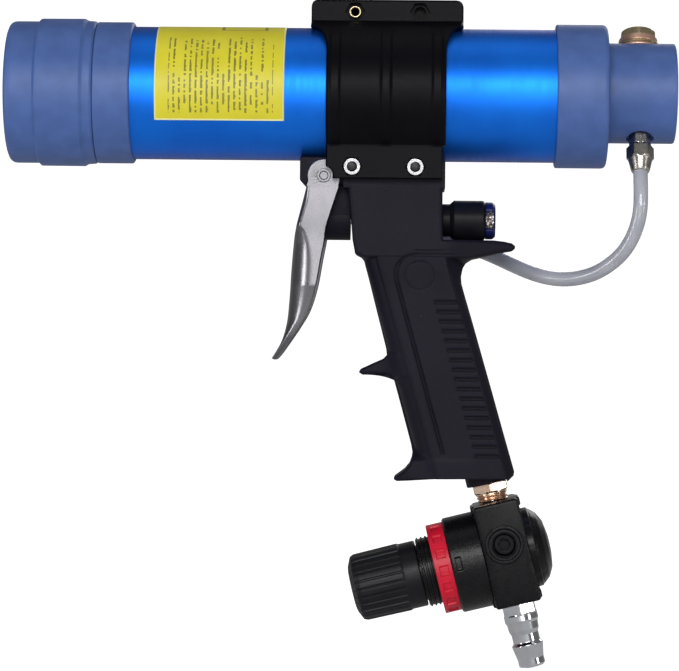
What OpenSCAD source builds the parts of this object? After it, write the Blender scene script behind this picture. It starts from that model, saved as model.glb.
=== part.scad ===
// Pneumatic caulking gun for 310 ml cartridges: a barrel with a screw cap, a clamped pistol
// grip with a trigger valve, an air hose to the rear head and a pressure regulator under
// the grip. The origin is the middle of the nozzle opening at the cap's front face.
// +X runs to the rear along the barrel, +Y to the far side and +Z up. Millimetres.

/* [Barrel] */
// Outer diameter of the barrel tube
tube_d = 55; // [50:0.5:66]
// Wall of the barrel tube
tube_wall = 1.8; // [1.2:0.1:2.4]
// Length of the barrel tube
tube_len = 201; // [165:1:245]
// Length of the label round the tube
label_len = 53; // [20:1:60]

/* [Cap and collar] */
// Length of the screw cap
cap_len = 36.5; // [30:0.5:44]
// Thickness of the cap's front wall
cap_face = 4; // [2:0.5:6]
// Diameter of the nozzle opening
nozzle_d = 22; // [16:0.5:32]
// Wall of the cap beside its thread
cap_wall = 1.7; // [1.2:0.1:3]
// Height of the raised hand band on the cap
band_rise = 1.2; // [0.4:0.1:2.5]
// Length of the collar's threaded neck
neck_len = 14.7; // [10:0.1:18]
// Wall of the collar's threaded neck
neck_wall = 1.7; // [1.2:0.1:2.5]
// Length of the collar's visible ring
collar_len = 15.2; // [11:0.1:22]
// Thickness of the rubber washer in the cap
washer_t = 2; // [1:0.5:4]

/* [Rear head] */
// Length of the ring that holds the head on the tube
ring_len = 21.2; // [18:0.1:30]
// Diameter of the air head behind the ring
head_d = 41.4; // [38:0.2:44]
// Length of the air head behind its flange
head_len = 31.6; // [28:0.1:40]
// Distance from the head's flange to its two ports
port_reach = 17; // [14:0.5:20]
// Angle that the ports lean away from upright
port_roll = 22; // [0:1:40]
// Offset of the head's round body towards the plug
head_offset = 1.65; // [0:0.05:2]

/* [Clamp] */
// Distance from the cap's front face to the middle of the clamp
clamp_x = 156.5; // [140:0.5:172]
// Length of the clamp's saddle
clamp_len = 49; // [44:1:60]
// Wall of the clamp's saddle
clamp_wall = 3.2; // [2.4:0.1:4.5]
// Length of the flange along the top
top_len = 63; // [56:1:72]
// Height of the top flange above the tube
top_rise = 11.4; // [10.5:0.1:15]
// Diameter of the clamp screws
screw_d = 4; // [3:0.1:5]

/* [Grip] */
// Width of the grip's upper block
block_w = 33; // [31:1:38]
// Width of the handle
handle_w = 31; // [26:1:34]
// Thickness of the handle from front to back, square to its slope
handle_depth = 37.6; // [34:0.2:42]
// Slope of the handle from upright
rake = 15.8; // [12:0.2:19]
// Drop from the tube's underside to the foot of the handle
foot_drop = 132.2; // [124:0.2:140]

/* [Trigger and valve] */
// Outer width of the trigger
trigger_w = 31; // [25:0.5:33]
// Thickness of the trigger's sheet
sheet_t = 2.1; // [1.2:0.1:2.4]
// Diameter of the trigger's pin
pin_d = 3.8; // [3:0.1:5]
// Diameter of the valve's bore
valve_d = 10; // [8:0.5:12]
// Diameter of the valve stem's rod
stem_d = 4; // [3:0.5:5]
// Outer diameter of the silencer
silencer_d = 16.6; // [14:0.2:17]

/* [Regulator] */
// Slope of the regulator from upright
reg_tilt = 14; // [8:1:20]
// Diameter of the bonnet
bonnet_d = 40; // [37:0.5:41]
// Width of the regulator's block
block_reg_w = 40; // [38:0.5:44]
// Diameter of the knob at its ribs
knob_d = 28.4; // [24:0.2:32]
// Diameter of the adjusting screw
adjust_d = 6; // [5:0.5:8]
// Radius of the regulator's two pipe threads
pipe_r = 6.6; // [6:0.1:7]

/* [Hidden] */
$fn = 64;
fit = 0.05;   // radial clearance of a running fit
loose = 0.3;  // clearance between parts that move past each other
seam = 0.2;   // face clearance between parts that turn on each other
e = 1;        // how far a cutter runs past a face

tube_r = tube_d / 2;
tube_in = tube_r - tube_wall;

neck_r = tube_in + neck_wall;
cap_bore = neck_r + loose;
cap_r = cap_bore + cap_wall;
nozzle_r = nozzle_d / 2;
shoulder_x = cap_len + seam;
tube_stop = 2.3;  // inner shoulder of the collar, which the tube butts against
tube_x0 = shoulder_x + tube_stop;
tube_x1 = tube_x0 + tube_len;
collar_r = tube_r + 1.8;
label_x = tube_x0 + 23;
label_low = -12.8;
label_t = 0.15;

flange_t = 4;
lip_t = 3.4;
ring_r = tube_r + 2.2;
ring_x0 = tube_x1 + flange_t + lip_t - ring_len;
head_r = head_d / 2;
spigot_len = 14;
spigot_r = tube_in - loose;
spigot_bore = 8;
port_x = tube_x1 + flange_t + port_reach;
port_r = 4.3;      // G1/8 thread of the hose fitting
plug_port_r = 6.6; // G1/4 thread of the brass plug
plug_seat = 19.9;  // seat of the plug above the barrel's axis
plug_disc = 10.2;
fitting_seat = 17.4;
fitting_len = 5.2;
nut_len = 6;
cone_len = 5.6;
fitting_end = fitting_seat + fitting_len + nut_len + cone_len;

saddle_r0 = tube_r + 0.1;
saddle_r1 = tube_r + 0.1 + clamp_wall;
rib_r = saddle_r1 + 1;
rib_w = 4.3;
top_half = 7;            // thickness of each shell's top flange
half_gap = 0.4;          // half of the slot between the two shells
flare_z = tube_r - 12;   // height where the saddle starts to widen
top_z = tube_r + top_rise;
top_screw_x = [-13.3, 13.5];
top_screw_z = tube_r + 6.3;
low_screw_x = [-13.7, 12.2];
low_screw_z = -3.4;      // below the tube's underside
wing_t = 5;              // thickness of the lower flanges
wing_low = -8.2;
nut_af = screw_d * 1.75;
nut_h = screw_d * 0.7;
sleeve_len = 4.4;        // end of the brass sleeve, from the near face
screw_r = screw_d / 2;
block_r = block_w / 2;
wing_y = block_r + fit;

neck_half = block_r - fit;
lug_half = trigger_w / 2 - sheet_t - 0.5;
pivot_x = -25.3;         // from the clamp's middle
pivot_z = -6.9;          // from the tube's underside
pin_r = pin_d / 2;
valve_z = -24.3;
boss_r = 8.6;
boss_x0 = -27.2;
block_x0 = -15.4;
block_x1 = 23.5;
block_low = -33.3;
bush_len = 7.7;
bush_r = 6.5;
stem_r = stem_d / 2;
valve_r = valve_d / 2;
stub_len = 7;            // silencer thread in the block
inlet_port_x = 0;
outlet_port_x = 5.4;
outlet_port_r = 1.2;
elbow_r = 4.25;
elbow_dip = 20;          // slope of the elbow's arm below level
elbow_y = 23;
elbow_arm = 14;
foot_x = 44.1;           // where the inlet leaves the foot, from the clamp's middle
nipple_show = 7.6;       // nipple between the grip and the regulator
nipple_hex = 3.6;
socket_len = 12;         // depth of the inlet socket
foot_z = -foot_drop - 0.8; // middle of the inlet's face, from the tube's underside
foot_r = 9.4;            // boss round the inlet socket, and its spot face
foot_face = 6;

reg_top = 17.4;          // regulator sizes, from the middle of its gauge port
reg_low = -25.4;
block_a0 = -9.2;
block_a1 = 9.6;
knob_z = -4.8;           // axis of the knob
bonnet_a0 = -22.9;
nose_a0 = -35.5;
nose_r = 14.3;
ring_a0 = -29.9;
lock_r = 18.65;
knob_a0 = -65.5;
knob_a1 = -36;
bonnet_r = bonnet_d / 2;
spring_room = 11.5;
adjust_r = adjust_d / 2;
gauge_r = 4.4;
pull_r = knob_d / 2;
ribs = 26;
plug_low = -53;
nose_plug_r = 5.5;

// Hose route, chosen by hand, from the fitting to the elbow
hose_d = 6;
hose_path = [
    [261, -12.82, -31.73], [261, -14.6, -36.1], [261, -16, -41.3], [260.8, -16.7, -46.8],
    [259.9, -16.4, -52.4], [257.8, -15.1, -58.6], [254.4, -12.8, -64.4], [249.6, -9.6, -69.2],
    [243.8, -5.8, -72.9], [237.5, -1.7, -75], [230.8, 2.8, -75.7], [224, 7.3, -74.9],
    [217.3, 11.6, -72.9], [210.8, 15.5, -70.1], [204.4, 18.7, -67.1], [197.9, 21, -64.3],
    [191.2, 22.4, -61.9], [185, 22.9, -60], [179.8, 23, -58.3], [175.08, 23, -56.6]];

// Shared shapes

// Solid of revolution about X, from points [radius, x]
module turned(points) rotate([0, 90, 0]) rotate_extrude() polygon(points);

// Round rod along X from x0 to x1
module rod(x0, x1, r) translate([x0, 0, 0]) rotate([0, 90, 0]) cylinder(h = x1 - x0, r = r);

// Round rod along Y from y0 to y1
module cross_rod(y0, y1, r)
    translate([0, y0, 0]) rotate([-90, 0, 0]) cylinder(h = y1 - y0, r = r);

// Hexagonal bar along Z from z0 to z1, by its width across flats
module hex_bar(z0, z1, af)
    translate([0, 0, z0]) cylinder(h = z1 - z0, r = af / sqrt(3), $fn = 6);

// A side view in X and Z given thickness w about the middle plane
module slab(w) rotate([90, 0, 0]) linear_extrude(height = w, center = true) children();

// Ring about X from x0 to x1, between two radii
module ring(x0, x1, r0, r1) difference() {
    rod(x0, x1, r1);
    rod(x0 - e, x1 + e, r0);
}

// Tube swept along a route: each ring stands square to the route, by a fixed side direction
function unit(v) = v / norm(v);
function heading(p, i) = unit(p[min(i + 1, len(p) - 1)] - p[max(i - 1, 0)]);
function ring_points(p, i, r, side, n) =
    let (t = heading(p, i), u = unit(cross(side, t)), v = cross(t, u))
    [for (k = [0:n - 1]) p[i] + r * (cos(360 * k / n) * u + sin(360 * k / n) * v)];
module swept(p, r, side, n) {
    m = len(p);
    points = [for (i = [0:m - 1]) each ring_points(p, i, r, side, n)];
    walls = [for (i = [0:m - 2], k = [0:n - 1])
        [i * n + k, (i + 1) * n + k, (i + 1) * n + (k + 1) % n, i * n + (k + 1) % n]];
    start = [for (k = [0:n - 1]) k];
    end = [for (k = [n - 1:-1:0]) (m - 1) * n + k];
    polyhedron(points, concat(walls, [start, end]), convexity = 6);
}

// Coil spring along X from x0 to x1
module coil(x0, x1, r, wire, turns) {
    steps = turns * 16;
    swept([for (k = [0:steps])
        [x0 + wire / 2 + (x1 - x0 - wire) * k / steps,
         r * cos(360 * k / 16), r * sin(360 * k / 16)]], wire / 2, [1, 0, 0], 6);
}

// Places: grip, pivot, valve and foot are measured from the tube's underside
module at_ports() translate([port_x, 0, 0]) rotate([-port_roll, 0, 0]) children();
module at_grip() translate([clamp_x, 0, -tube_r]) children();
module at_pivot() at_grip() translate([pivot_x, 0, pivot_z]) children();
module at_valve() at_grip() translate([0, 0, valve_z]) children();
module at_foot() translate([foot_x, 0, foot_z]) rotate([0, -reg_tilt, 0]) children();
module at_inlet() at_grip() at_foot() children();
module at_regulator() at_inlet() translate([0, 0, -nipple_show - reg_top]) children();
module at_knob() at_regulator() translate([0, 0, knob_z]) children();
module at_elbow() at_valve() translate([outlet_port_x, 0, 0]) children();

// Cap, collar and barrel

module front_cap() color([0.25, 0.36, 0.59]) difference() {
    turned([[0, 0], [cap_r - 1.2, 0], [cap_r, 1.2], [cap_r, 11.6], [cap_r + band_rise, 12.8],
        [cap_r + band_rise, cap_len - 4.5], [cap_r + 0.2, cap_len - 1], [cap_r - 0.4, cap_len],
        [0, cap_len]]);
    rod(-e, cap_face + e, nozzle_r);
    rod(cap_face, cap_len + e, cap_bore);
}

module cap_washer() color([0.08, 0.08, 0.08])
    ring(cap_face + fit, cap_face + fit + washer_t, tube_in - 7.7, neck_r);

module front_collar() color([0.25, 0.36, 0.59]) difference() {
    union() {
        rod(shoulder_x - neck_len, shoulder_x + e, neck_r);
        turned([[0, shoulder_x], [collar_r - 0.4, shoulder_x], [collar_r, shoulder_x + 0.4],
            [collar_r, shoulder_x + collar_len - 0.6], [collar_r - 0.6, shoulder_x + collar_len],
            [0, shoulder_x + collar_len]]);
    }
    rod(0, tube_x1, tube_in);
    rod(tube_x0, tube_x1, tube_r + fit);
}

module barrel_tube() color([0.05, 0.25, 0.8]) ring(tube_x0, tube_x1, tube_in, tube_r);

module label() color([0.84, 0.8, 0.16]) intersection() {
    ring(label_x, label_x + label_len, tube_r + 0.02, tube_r + 0.02 + label_t);
    translate([0, -tube_d, label_low]) cube([tube_len, tube_d + 12, tube_d]);
}

// Rear head

module rear_cap() color([0.25, 0.36, 0.59]) difference() {
    turned([[0, ring_x0], [ring_r - 0.6, ring_x0], [ring_r, ring_x0 + 0.6],
        [ring_r, ring_x0 + ring_len - 1.4], [ring_r - 1.4, ring_x0 + ring_len],
        [0, ring_x0 + ring_len]]);
    rod(ring_x0 - e, tube_x1 + flange_t, tube_r + fit);
    rod(tube_x1, ring_x0 + ring_len + e, head_r + head_offset + 0.65);
}

module air_head() color([0.25, 0.36, 0.59]) difference() {
    union() {
        rod(tube_x1, tube_x1 + flange_t, tube_r - loose);
        difference() {
            rod(tube_x1 - spigot_len, tube_x1 + e, spigot_r);
            ring(tube_x1 - 8.6, tube_x1 - 5.8, spigot_r - 2.4, spigot_r + e);
        }
        rotate([-port_roll, 0, 0]) translate([0, 0, head_offset])
            turned([[0, tube_x1], [head_r, tube_x1], [head_r, tube_x1 + flange_t + head_len - 0.8],
                [head_r - 0.8, tube_x1 + flange_t + head_len],
                [0, tube_x1 + flange_t + head_len]]);
    }
    rod(tube_x1 - spigot_len - e, tube_x1 - 4, spigot_r - 5.4);
    rod(tube_x1 - spigot_len, port_x + 7, spigot_bore);
    at_ports() {
        translate([0, 0, plug_seat]) cylinder(h = head_r, r = plug_disc + loose);
        cylinder(h = head_r, r = plug_port_r);
        mirror([0, 0, 1]) cylinder(h = head_r, r = port_r);
        mirror([0, 0, 1]) translate([0, 0, fitting_seat]) cylinder(h = head_r, r = 5.7);
    }
}

module head_oring() color([0.08, 0.08, 0.08]) translate([tube_x1 - 7.2, 0, 0])
    rotate([0, 90, 0]) rotate_extrude() translate([spigot_r - 1.1, 0]) circle(r = 1.25);

module cartridge_seal() color([0.12, 0.12, 0.12])
    ring(tube_x1 - spigot_len - 4.5, tube_x1 - spigot_len, tube_in - 5.7, tube_in - 1.2);

module air_plug() color([0.71, 0.62, 0.44]) at_ports() {
    translate([0, 0, plug_seat - 8]) cylinder(h = 9.4, r = plug_port_r - fit);
    translate([0, 0, plug_seat + 1.4]) cylinder(h = 4.6, r = 8);
    intersection() {
        hex_bar(plug_seat + 6, plug_seat + 11, 13);
        translate([0, 0, plug_seat + 6]) cylinder(h = 5, r1 = 10.2, r2 = 5.6);
    }
}

module plug_washer() color([0.72, 0.5, 0.38]) at_ports() difference() {
    translate([0, 0, plug_seat]) cylinder(h = 1.4, r = plug_disc);
    cylinder(h = head_d, r = plug_port_r);
}

module hose_fitting() color([0.6, 0.58, 0.56]) at_ports() mirror([0, 0, 1]) difference() {
    union() {
        translate([0, 0, spigot_bore + 1]) cylinder(h = fitting_seat, r = port_r - fit);
        hex_bar(fitting_seat, fitting_seat + fitting_len, 8);
    }
    cylinder(h = 2 * head_r, r = 2);
    translate([0, 0, fitting_seat + fitting_len]) cylinder(h = head_r, r = head_r);
}

module fitting_nut() color([0.6, 0.58, 0.56]) at_ports() mirror([0, 0, 1]) difference() {
    union() {
        hex_bar(fitting_seat + fitting_len, fitting_seat + fitting_len + nut_len, 10);
        translate([0, 0, fitting_seat + fitting_len + nut_len])
            cylinder(h = cone_len, r1 = 5, r2 = 3.6);
    }
    cylinder(h = fitting_end + e, r = 2);
}

module air_hose() color([0.72, 0.72, 0.76, 0.7]) swept(hose_path, hose_d / 2, [0, 1, 0], 12);

module hose_elbow() color([0.1, 0.1, 0.12]) at_elbow() difference() {
    union() {
        cross_rod(valve_r + 1.5, block_r, elbow_r - fit);
        cross_rod(block_r, elbow_y + 5.6, 5.6);
        translate([0, elbow_y, 0]) rotate([0, elbow_dip, 0]) rod(0, elbow_arm, 4.8);
    }
    cross_rod(0, elbow_y, 1.5);
}

// Clamp

// Side view of a shell: the saddle, and above it the top flange with concave flanks
module shell_side() {
    half = clamp_len / 2;
    out = top_len / 2;
    rise = tube_r - flare_z;
    translate([-half, wing_low - tube_r]) square([clamp_len, top_z - wing_low + tube_r - e]);
    polygon(concat(
        [for (a = [0:15:90]) [out - (out - half) * cos(a), flare_z + rise * sin(a)]],
        [[out, top_z - 2.5], [out - 0.7, top_z - 0.7], [out - 2.5, top_z],
         [2.5 - out, top_z], [0.7 - out, top_z - 0.7], [-out, top_z - 2.5]],
        [for (a = [90:-15:0]) [-out + (out - half) * cos(a), flare_z + rise * sin(a)]]));
}

module clamp_shell(side) translate([clamp_x, 0, 0]) difference() {
    union() {
        intersection() {
            union() {
                rod(-top_len / 2, top_len / 2, saddle_r1);
                translate([-top_len / 2, side > 0 ? 0 : -top_half, 0])
                    cube([top_len, top_half, top_z]);
                for (x = [-clamp_len / 2 + 3.6, 0, clamp_len / 2 - 3.6])
                    rod(x - rib_w / 2, x + rib_w / 2, rib_r);
            }
            slab(4 * tube_d) shell_side();
        }
        translate([-clamp_len / 2, side > 0 ? wing_y : -wing_y - wing_t, -tube_r + wing_low])
            cube([clamp_len - 1, wing_t, 2 - wing_low]);
    }
    rod(-top_len, top_len, saddle_r0);
    translate([-top_len, side > 0 ? -tube_d : -half_gap, -tube_d])
        cube([2 * top_len, tube_d + half_gap, 2 * tube_d]);
    translate([-top_len, -wing_y, -tube_d]) cube([2 * top_len, 2 * wing_y, tube_d]);
    translate([pivot_x, 0, pivot_z - tube_r]) cross_rod(-tube_d, tube_d, pin_r + 1.8);
    for (x = side > 0 ? [top_screw_x[0]] : top_screw_x) translate([x, 0, top_screw_z])
        cross_rod(-tube_d, tube_d, screw_r + 0.5);
    for (x = low_screw_x) translate([x, 0, low_screw_z - tube_r])
        cross_rod(-tube_d, tube_d, screw_r + 0.2);
    children();
}

// Hexagonal pocket for a nut, opening towards -Y
module nut_pocket(depth) rotate([90, 0, 0]) hex_bar(-depth, e, nut_af + 0.4);

module clamp_near() color([0.09, 0.09, 0.1]) clamp_shell(-1) {
    for (x = top_screw_x) translate([x, -top_half, top_screw_z]) nut_pocket(nut_h + 0.4);
    for (x = low_screw_x)
        translate([x, -wing_y - wing_t, low_screw_z - tube_r]) nut_pocket(nut_h + 0.4);
}

module clamp_far() color([0.09, 0.09, 0.1]) clamp_shell(1);

// Screw along -Y with its head's underside at y0 and its tip at y1
module screw(y0, y1) {
    cross_rod(y1, y0 + e, screw_r);
    difference() {
        cross_rod(y0, y0 + screw_d * 0.7, screw_d * 0.85);
        translate([0, y0 + screw_d * 0.7, 0]) rotate([90, 0, 0])
            hex_bar(-e, screw_d * 0.4, screw_d * 0.62);
    }
}

module top_screw() color([0.2, 0.2, 0.22])
    translate([clamp_x + top_screw_x[0], 0, top_screw_z])
        screw(top_half, -top_half + sleeve_len);

module top_sleeve() color([0.71, 0.62, 0.44])
    translate([clamp_x + top_screw_x[0], 0, top_screw_z]) difference() {
        cross_rod(-top_half + 0.4, -top_half + sleeve_len, screw_r + 0.45);
        cross_rod(-top_half, -top_half + sleeve_len - 1.2, screw_r - 0.3);
    }

module lower_screws() color([0.2, 0.2, 0.22]) at_grip()
    for (x = low_screw_x) translate([x, 0, low_screw_z])
        screw(wing_y + wing_t, -wing_y - wing_t + 0.5);

module lower_nuts() color([0.75, 0.75, 0.77]) at_grip()
    for (x = low_screw_x) translate([x, -wing_y - wing_t + nut_h + 0.4, low_screw_z])
        difference() {
            rotate([90, 0, 0]) hex_bar(0, nut_h, nut_af);
            cross_rod(-tube_d, tube_d, screw_r + fit);
        }

// Grip

// Rounded section of the handle, drawn across its slope
module handle_section() {
    r = 10;
    a = handle_depth / 2 - r;
    b = handle_w / 2 - r;
    square([handle_depth, 2 * b], center = true);
    square([2 * a, handle_w], center = true);
    for (x = [-a, a], y = [-b, b]) translate([x, y]) circle(r = r);
}

module handle() {
    top_mid = 10.2;          // middle of the handle where it leaves the block
    web = -41.7;
    function mid(z) = top_mid + (web - z) * tan(rake);
    translate([mid(block_low), 0, block_low]) rotate([0, -rake, 0])
        translate([0, 0, block_low - 110]) linear_extrude(height = 130) handle_section();
}

module grip() color([0.13, 0.13, 0.16]) difference() {
    union() {
        intersection() {
            handle();
            translate([-60, -tube_r, -foot_drop]) cube([140, tube_d, foot_drop + block_low + 8]);
        }
        translate([-17.3, -neck_half, -12]) cube([block_x1 + 18.3, block_w - 2 * fit, 24]);
        translate([block_x0, -block_r, block_low])
            cube([block_x1 - block_x0, block_w, -8.6 - block_low]);
        slab(2 * lug_half) polygon([[-35.3, 6], [-35.3, -8.6], [-33.6, -10.4], [-12, -10.4],
            [-12, 6]]);
        translate([0, 0, valve_z]) rod(boss_x0, block_x0 + e, boss_r);
        translate([boss_x0, -boss_r, valve_z]) cube([14, 2 * boss_r, -10 - valve_z]);
        slab(22) polygon([[-13.2, block_low + e], [-12.2, -38.8], [-8.6, -41.7], [0, -60],
            [25, -60], [31.5, -47.7], [32.3, -44.1], [36, -40.4], [47.4, -37.7],
            [53.8, -35.6], [53.8, -34.7], [52.5, -33.8], [23, block_low - 0.3],
            [20, block_low + e]]);
        slab(16) polygon([[6, -74], [0.6, -78], [-0.3, -81.8], [-9.6, -86.2], [-10.3, -87.6],
            [-8.8, -88.7], [3, -88.2], [12, -92]]);
        slab(26) polygon([[14, -118], [11.9, -122.7], [8.9, -127.5], [4.9, -130.6],
            [6, -foot_drop], [20, -foot_drop], [30, -118]]);
        at_foot() cylinder(h = 9, r = foot_r);
    }
    translate([0, 0, tube_r]) rod(-60, 60, tube_r + 0.3);
    translate([pivot_x, 0, pivot_z]) cross_rod(-tube_r, tube_r, pin_r + fit);
    for (x = low_screw_x) translate([x, 0, low_screw_z])
        cross_rod(-tube_r, tube_r, screw_r + 0.2);
    translate([0, 0, valve_z]) {
        rod(boss_x0 - e, boss_x0 + bush_len, bush_r);
        rod(boss_x0, block_x1 + e, valve_r);
        translate([outlet_port_x, 0, 0]) {
            cross_rod(valve_r + e, block_r + e, elbow_r);
            cross_rod(0, valve_r + 2 * e, outlet_port_r);
        }
    }
    at_foot() translate([0, 0, -foot_face]) cylinder(h = foot_face, r = foot_r);
    at_foot() translate([0, 0, -e]) cylinder(h = socket_len + e, r = pipe_r);
    passage();
}

// Drilling from the inlet socket up to the valve
module passage() {
    low = [foot_x - socket_len * sin(reg_tilt), foot_z + socket_len * cos(reg_tilt)];
    rise = valve_z - low[1];
    lean = atan((inlet_port_x - low[0]) / rise);
    translate([low[0], 0, low[1]]) rotate([0, lean, 0]) translate([0, 0, -2])
        cylinder(h = rise / cos(lean), r = 1.5);
}

// Trigger, drawn from its pivot

front_edge = [[-6.6, -2], [-8.9, -11.1], [-11.1, -20], [-12.4, -26.5], [-13.4, -38.6],
    [-14, -49.4], [-15, -60.2], [-16.7, -67.4], [-21.5, -75.7]];
rear_edge = [[-19.5, -76.4], [-15.2, -70.2], [-9.6, -61.6], [-6.1, -55.1], [-3.3, -45.7],
    [-1.2, -33.9], [0.1, -27], [0.9, -20.7], [3.9, -11], [6.6, -2.7]];
top_r = 6.9;
web_face = -8.3;   // inner face of the trigger's web at the valve's height
web_top = -4.2;

module trigger_side() polygon(concat(front_edge, rear_edge,
    [for (a = [0:15:180]) [top_r * cos(a), top_r * sin(a)]]));

module trigger() color([0.75, 0.75, 0.76]) at_pivot() difference() {
    intersection() {
        slab(trigger_w) trigger_side();
        rotate([90, 0, 90]) linear_extrude(height = 80, center = true)
            polygon([[-trigger_w / 2, top_r + e], [-trigger_w / 2, -45], [-11, -66],
                [-7, -80], [7, -80], [11, -66], [trigger_w / 2, -45],
                [trigger_w / 2, top_r + e]]);
    }
    slab(trigger_w - 2 * sheet_t) polygon(concat([[-20, web_top]],
        [for (p = [[-7.5, web_top], each [for (i = [1:7]) front_edge[i]]])
            [p[0] + sheet_t * 1.03, p[1]]],
        [[0, -75], [20, -75], [20, top_r + e], [-20, top_r + e]]));
    cross_rod(-tube_r, tube_r, pin_r + fit);
}

module trigger_pin() color([0.7, 0.7, 0.72]) at_pivot() {
    cross_rod(-trigger_w / 2 - 0.9, trigger_w / 2 + 1.4, pin_r);
    cross_rod(-trigger_w / 2 - 0.9, -trigger_w / 2 - 0.2, pin_r + 0.9);
}

module pin_clip() color([0.3, 0.3, 0.32]) at_pivot() difference() {
    cross_rod(trigger_w / 2 + 0.2, trigger_w / 2 + 0.8, pin_r + 1.2);
    cross_rod(0, tube_r, pin_r + fit / 2);
}

// Valve

land = [[-18.5, -15.5], [-10, -7], [1.2, 3.8]];   // the stem's three lands along its axis

module valve_bush() color([0.71, 0.62, 0.44]) at_valve()
    ring(boss_x0, boss_x0 + bush_len, stem_r + fit, bush_r - fit);

module valve_stem() color([0.72, 0.72, 0.74]) at_valve() difference() {
    union() {
        rod(pivot_x + web_face + stem_r + 0.2, land[2][1], stem_r);
        translate([pivot_x + web_face + stem_r + 0.2, 0, 0]) sphere(r = stem_r);
        for (x = land) rod(x[0], x[1], valve_r - fit);
    }
    for (i = [0, 1]) ring(land[i][0] + 0.8, land[i][1] - 0.8, valve_r - 1.4, valve_r + e);
}

module stem_orings() color([0.08, 0.08, 0.08]) at_valve()
    for (i = [0, 1]) translate([(land[i][0] + land[i][1]) / 2, 0, 0]) rotate([0, 90, 0])
        rotate_extrude() translate([valve_r - 0.72, 0]) circle(r = 0.64);

module valve_spring() color([0.6, 0.6, 0.62]) at_valve()
    coil(land[2][1], block_x1 - stub_len, valve_r - 1.3, 0.8, 6);

module silencer_body() color([0.1, 0.1, 0.11]) at_valve() difference() {
    union() {
        rod(block_x1 - stub_len, block_x1, valve_r - fit);
        rod(block_x1, block_x1 + 3.9, 6.8);
        turned([[0, block_x1 + 3.9], [silencer_d / 2 - 0.8, block_x1 + 3.9],
            [silencer_d / 2, block_x1 + 4.7], [silencer_d / 2, block_x1 + 17.2],
            [silencer_d / 2 - 0.6, block_x1 + 17.8], [0, block_x1 + 17.8]]);
    }
    rod(0, block_x1 + 8, 2.5);
    rod(block_x1 + 6.6, block_x1 + 20, silencer_d / 2 - 1.4);
}

module silencer_ring() color([0.1, 0.16, 0.4]) at_valve() difference() {
    union() {
        rod(block_x1 + 12, block_x1 + 18, silencer_d / 2 - 1.4 - fit);
        rod(block_x1 + 17.8, block_x1 + 22, silencer_d / 2 - 0.6);
    }
    rod(block_x1, block_x1 + 30, silencer_d / 2 - 2.6);
}

module silencer_screen() color([0.7, 0.7, 0.7]) at_valve()
    rod(block_x1 + 6.6, block_x1 + 21.4, silencer_d / 2 - 2.6 - fit);

// Regulator

module inlet_nipple() color([0.72, 0.6, 0.42]) at_inlet() difference() {
    union() {
        cylinder(h = socket_len - 1, r = pipe_r - fit);
        hex_bar(-nipple_hex, 0, 14);
        translate([0, 0, -nipple_show - 10]) cylinder(h = nipple_show + 10, r = pipe_r - fit);
    }
    translate([0, 0, -30]) cylinder(h = 60, r = 3.2);
}

module regulator_body() color([0.07, 0.07, 0.08]) at_regulator() difference() {
    union() {
        translate([block_a0, -block_reg_w / 2, reg_low])
            cube([block_a1 - block_a0, block_reg_w, reg_top - reg_low]);
        for (z = [reg_low, reg_top - 3.8]) translate([block_a0 - 1, -9.5, z])
            cube([block_a1 - block_a0 + 2, 19, 3.8]);
        cross_rod(-block_reg_w / 2 - 1.2, block_reg_w / 2 + 1.2, 7.9);
    }
    translate([0, 0, knob_z]) {
        rod(block_a0 - 2, block_a0 + 1.2, 16.3);
        rod(block_a0, -4, 10);
        rod(-5, 2, 3);
        rod(1, block_a1 + 2, 7.5);
        translate([block_a0 - 3, 0, 0]) rod(0, 3, bonnet_r + e);
        translate([block_a1, 0, 0]) rod(0, 3, 17);
    }
    translate([0, 0, 4]) cylinder(h = 20, r = pipe_r);
    translate([0, 0, reg_low - e]) cylinder(h = -16 - reg_low + e, r = pipe_r);
    translate([4.5, 0, -17]) cylinder(h = 8, r = 1.5);
    cross_rod(-30, -10, gauge_r);
    cross_rod(10, 30, gauge_r);
}

module gauge_plugs() color([0.12, 0.12, 0.13]) at_regulator()
    for (side = [0, 180]) rotate([0, 0, side]) difference() {
        cross_rod(10, 18.4, gauge_r - fit);
        translate([0, 18.5, 0]) rotate([90, 0, 0]) hex_bar(-e, 4, 4.6);
    }

module regulator_cap() color([0.07, 0.07, 0.08]) at_knob() difference() {
    union() {
        rod(8, block_a1 + e, 7.4);
        turned(concat([[0, block_a1]],
            [for (a = [4:8:76]) [16.8 * cos(a), block_a1 + 9 * sin(a)]],
            [[0, block_a1 + 9]]));
    }
    rod(7, 14, 2.1);
}

module bonnet() color([0.08, 0.08, 0.09]) at_knob() difference() {
    union() {
        rod(bonnet_a0, block_a0, bonnet_r);
        rod(nose_a0, bonnet_a0 + e, nose_r - 0.3);
        for (i = [0:2]) rod(nose_a0 + 0.3 + 1.8 * i, nose_a0 + 1.3 + 1.8 * i, nose_r + 0.3);
    }
    rod(nose_a0 - e, nose_a0 + 4, adjust_r + 0.65);
    rod(nose_a0 + 4, bonnet_a0 + 4, spring_room);
    rod(bonnet_a0 + 3, block_a0 + e, 14.5);
    translate([bonnet_a0 + 3.3, -bonnet_r - e, 1.4]) cube([2.2, 3, 5.5]);
}

module lock_ring() color([0.8, 0.06, 0.16]) at_knob() difference() {
    turned([[0, ring_a0], [lock_r - 0.8, ring_a0], [lock_r, ring_a0 + 0.8],
        [lock_r, bonnet_a0], [0, bonnet_a0]]);
    rod(ring_a0 - e, bonnet_a0 + e, nose_r);
    for (k = [0:15]) rotate([22.5 * k, 0, 0])
        translate([ring_a0 + 1.8, -1.9, lock_r - 0.5]) cube([3.6, 3.8, e]);
}

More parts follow.
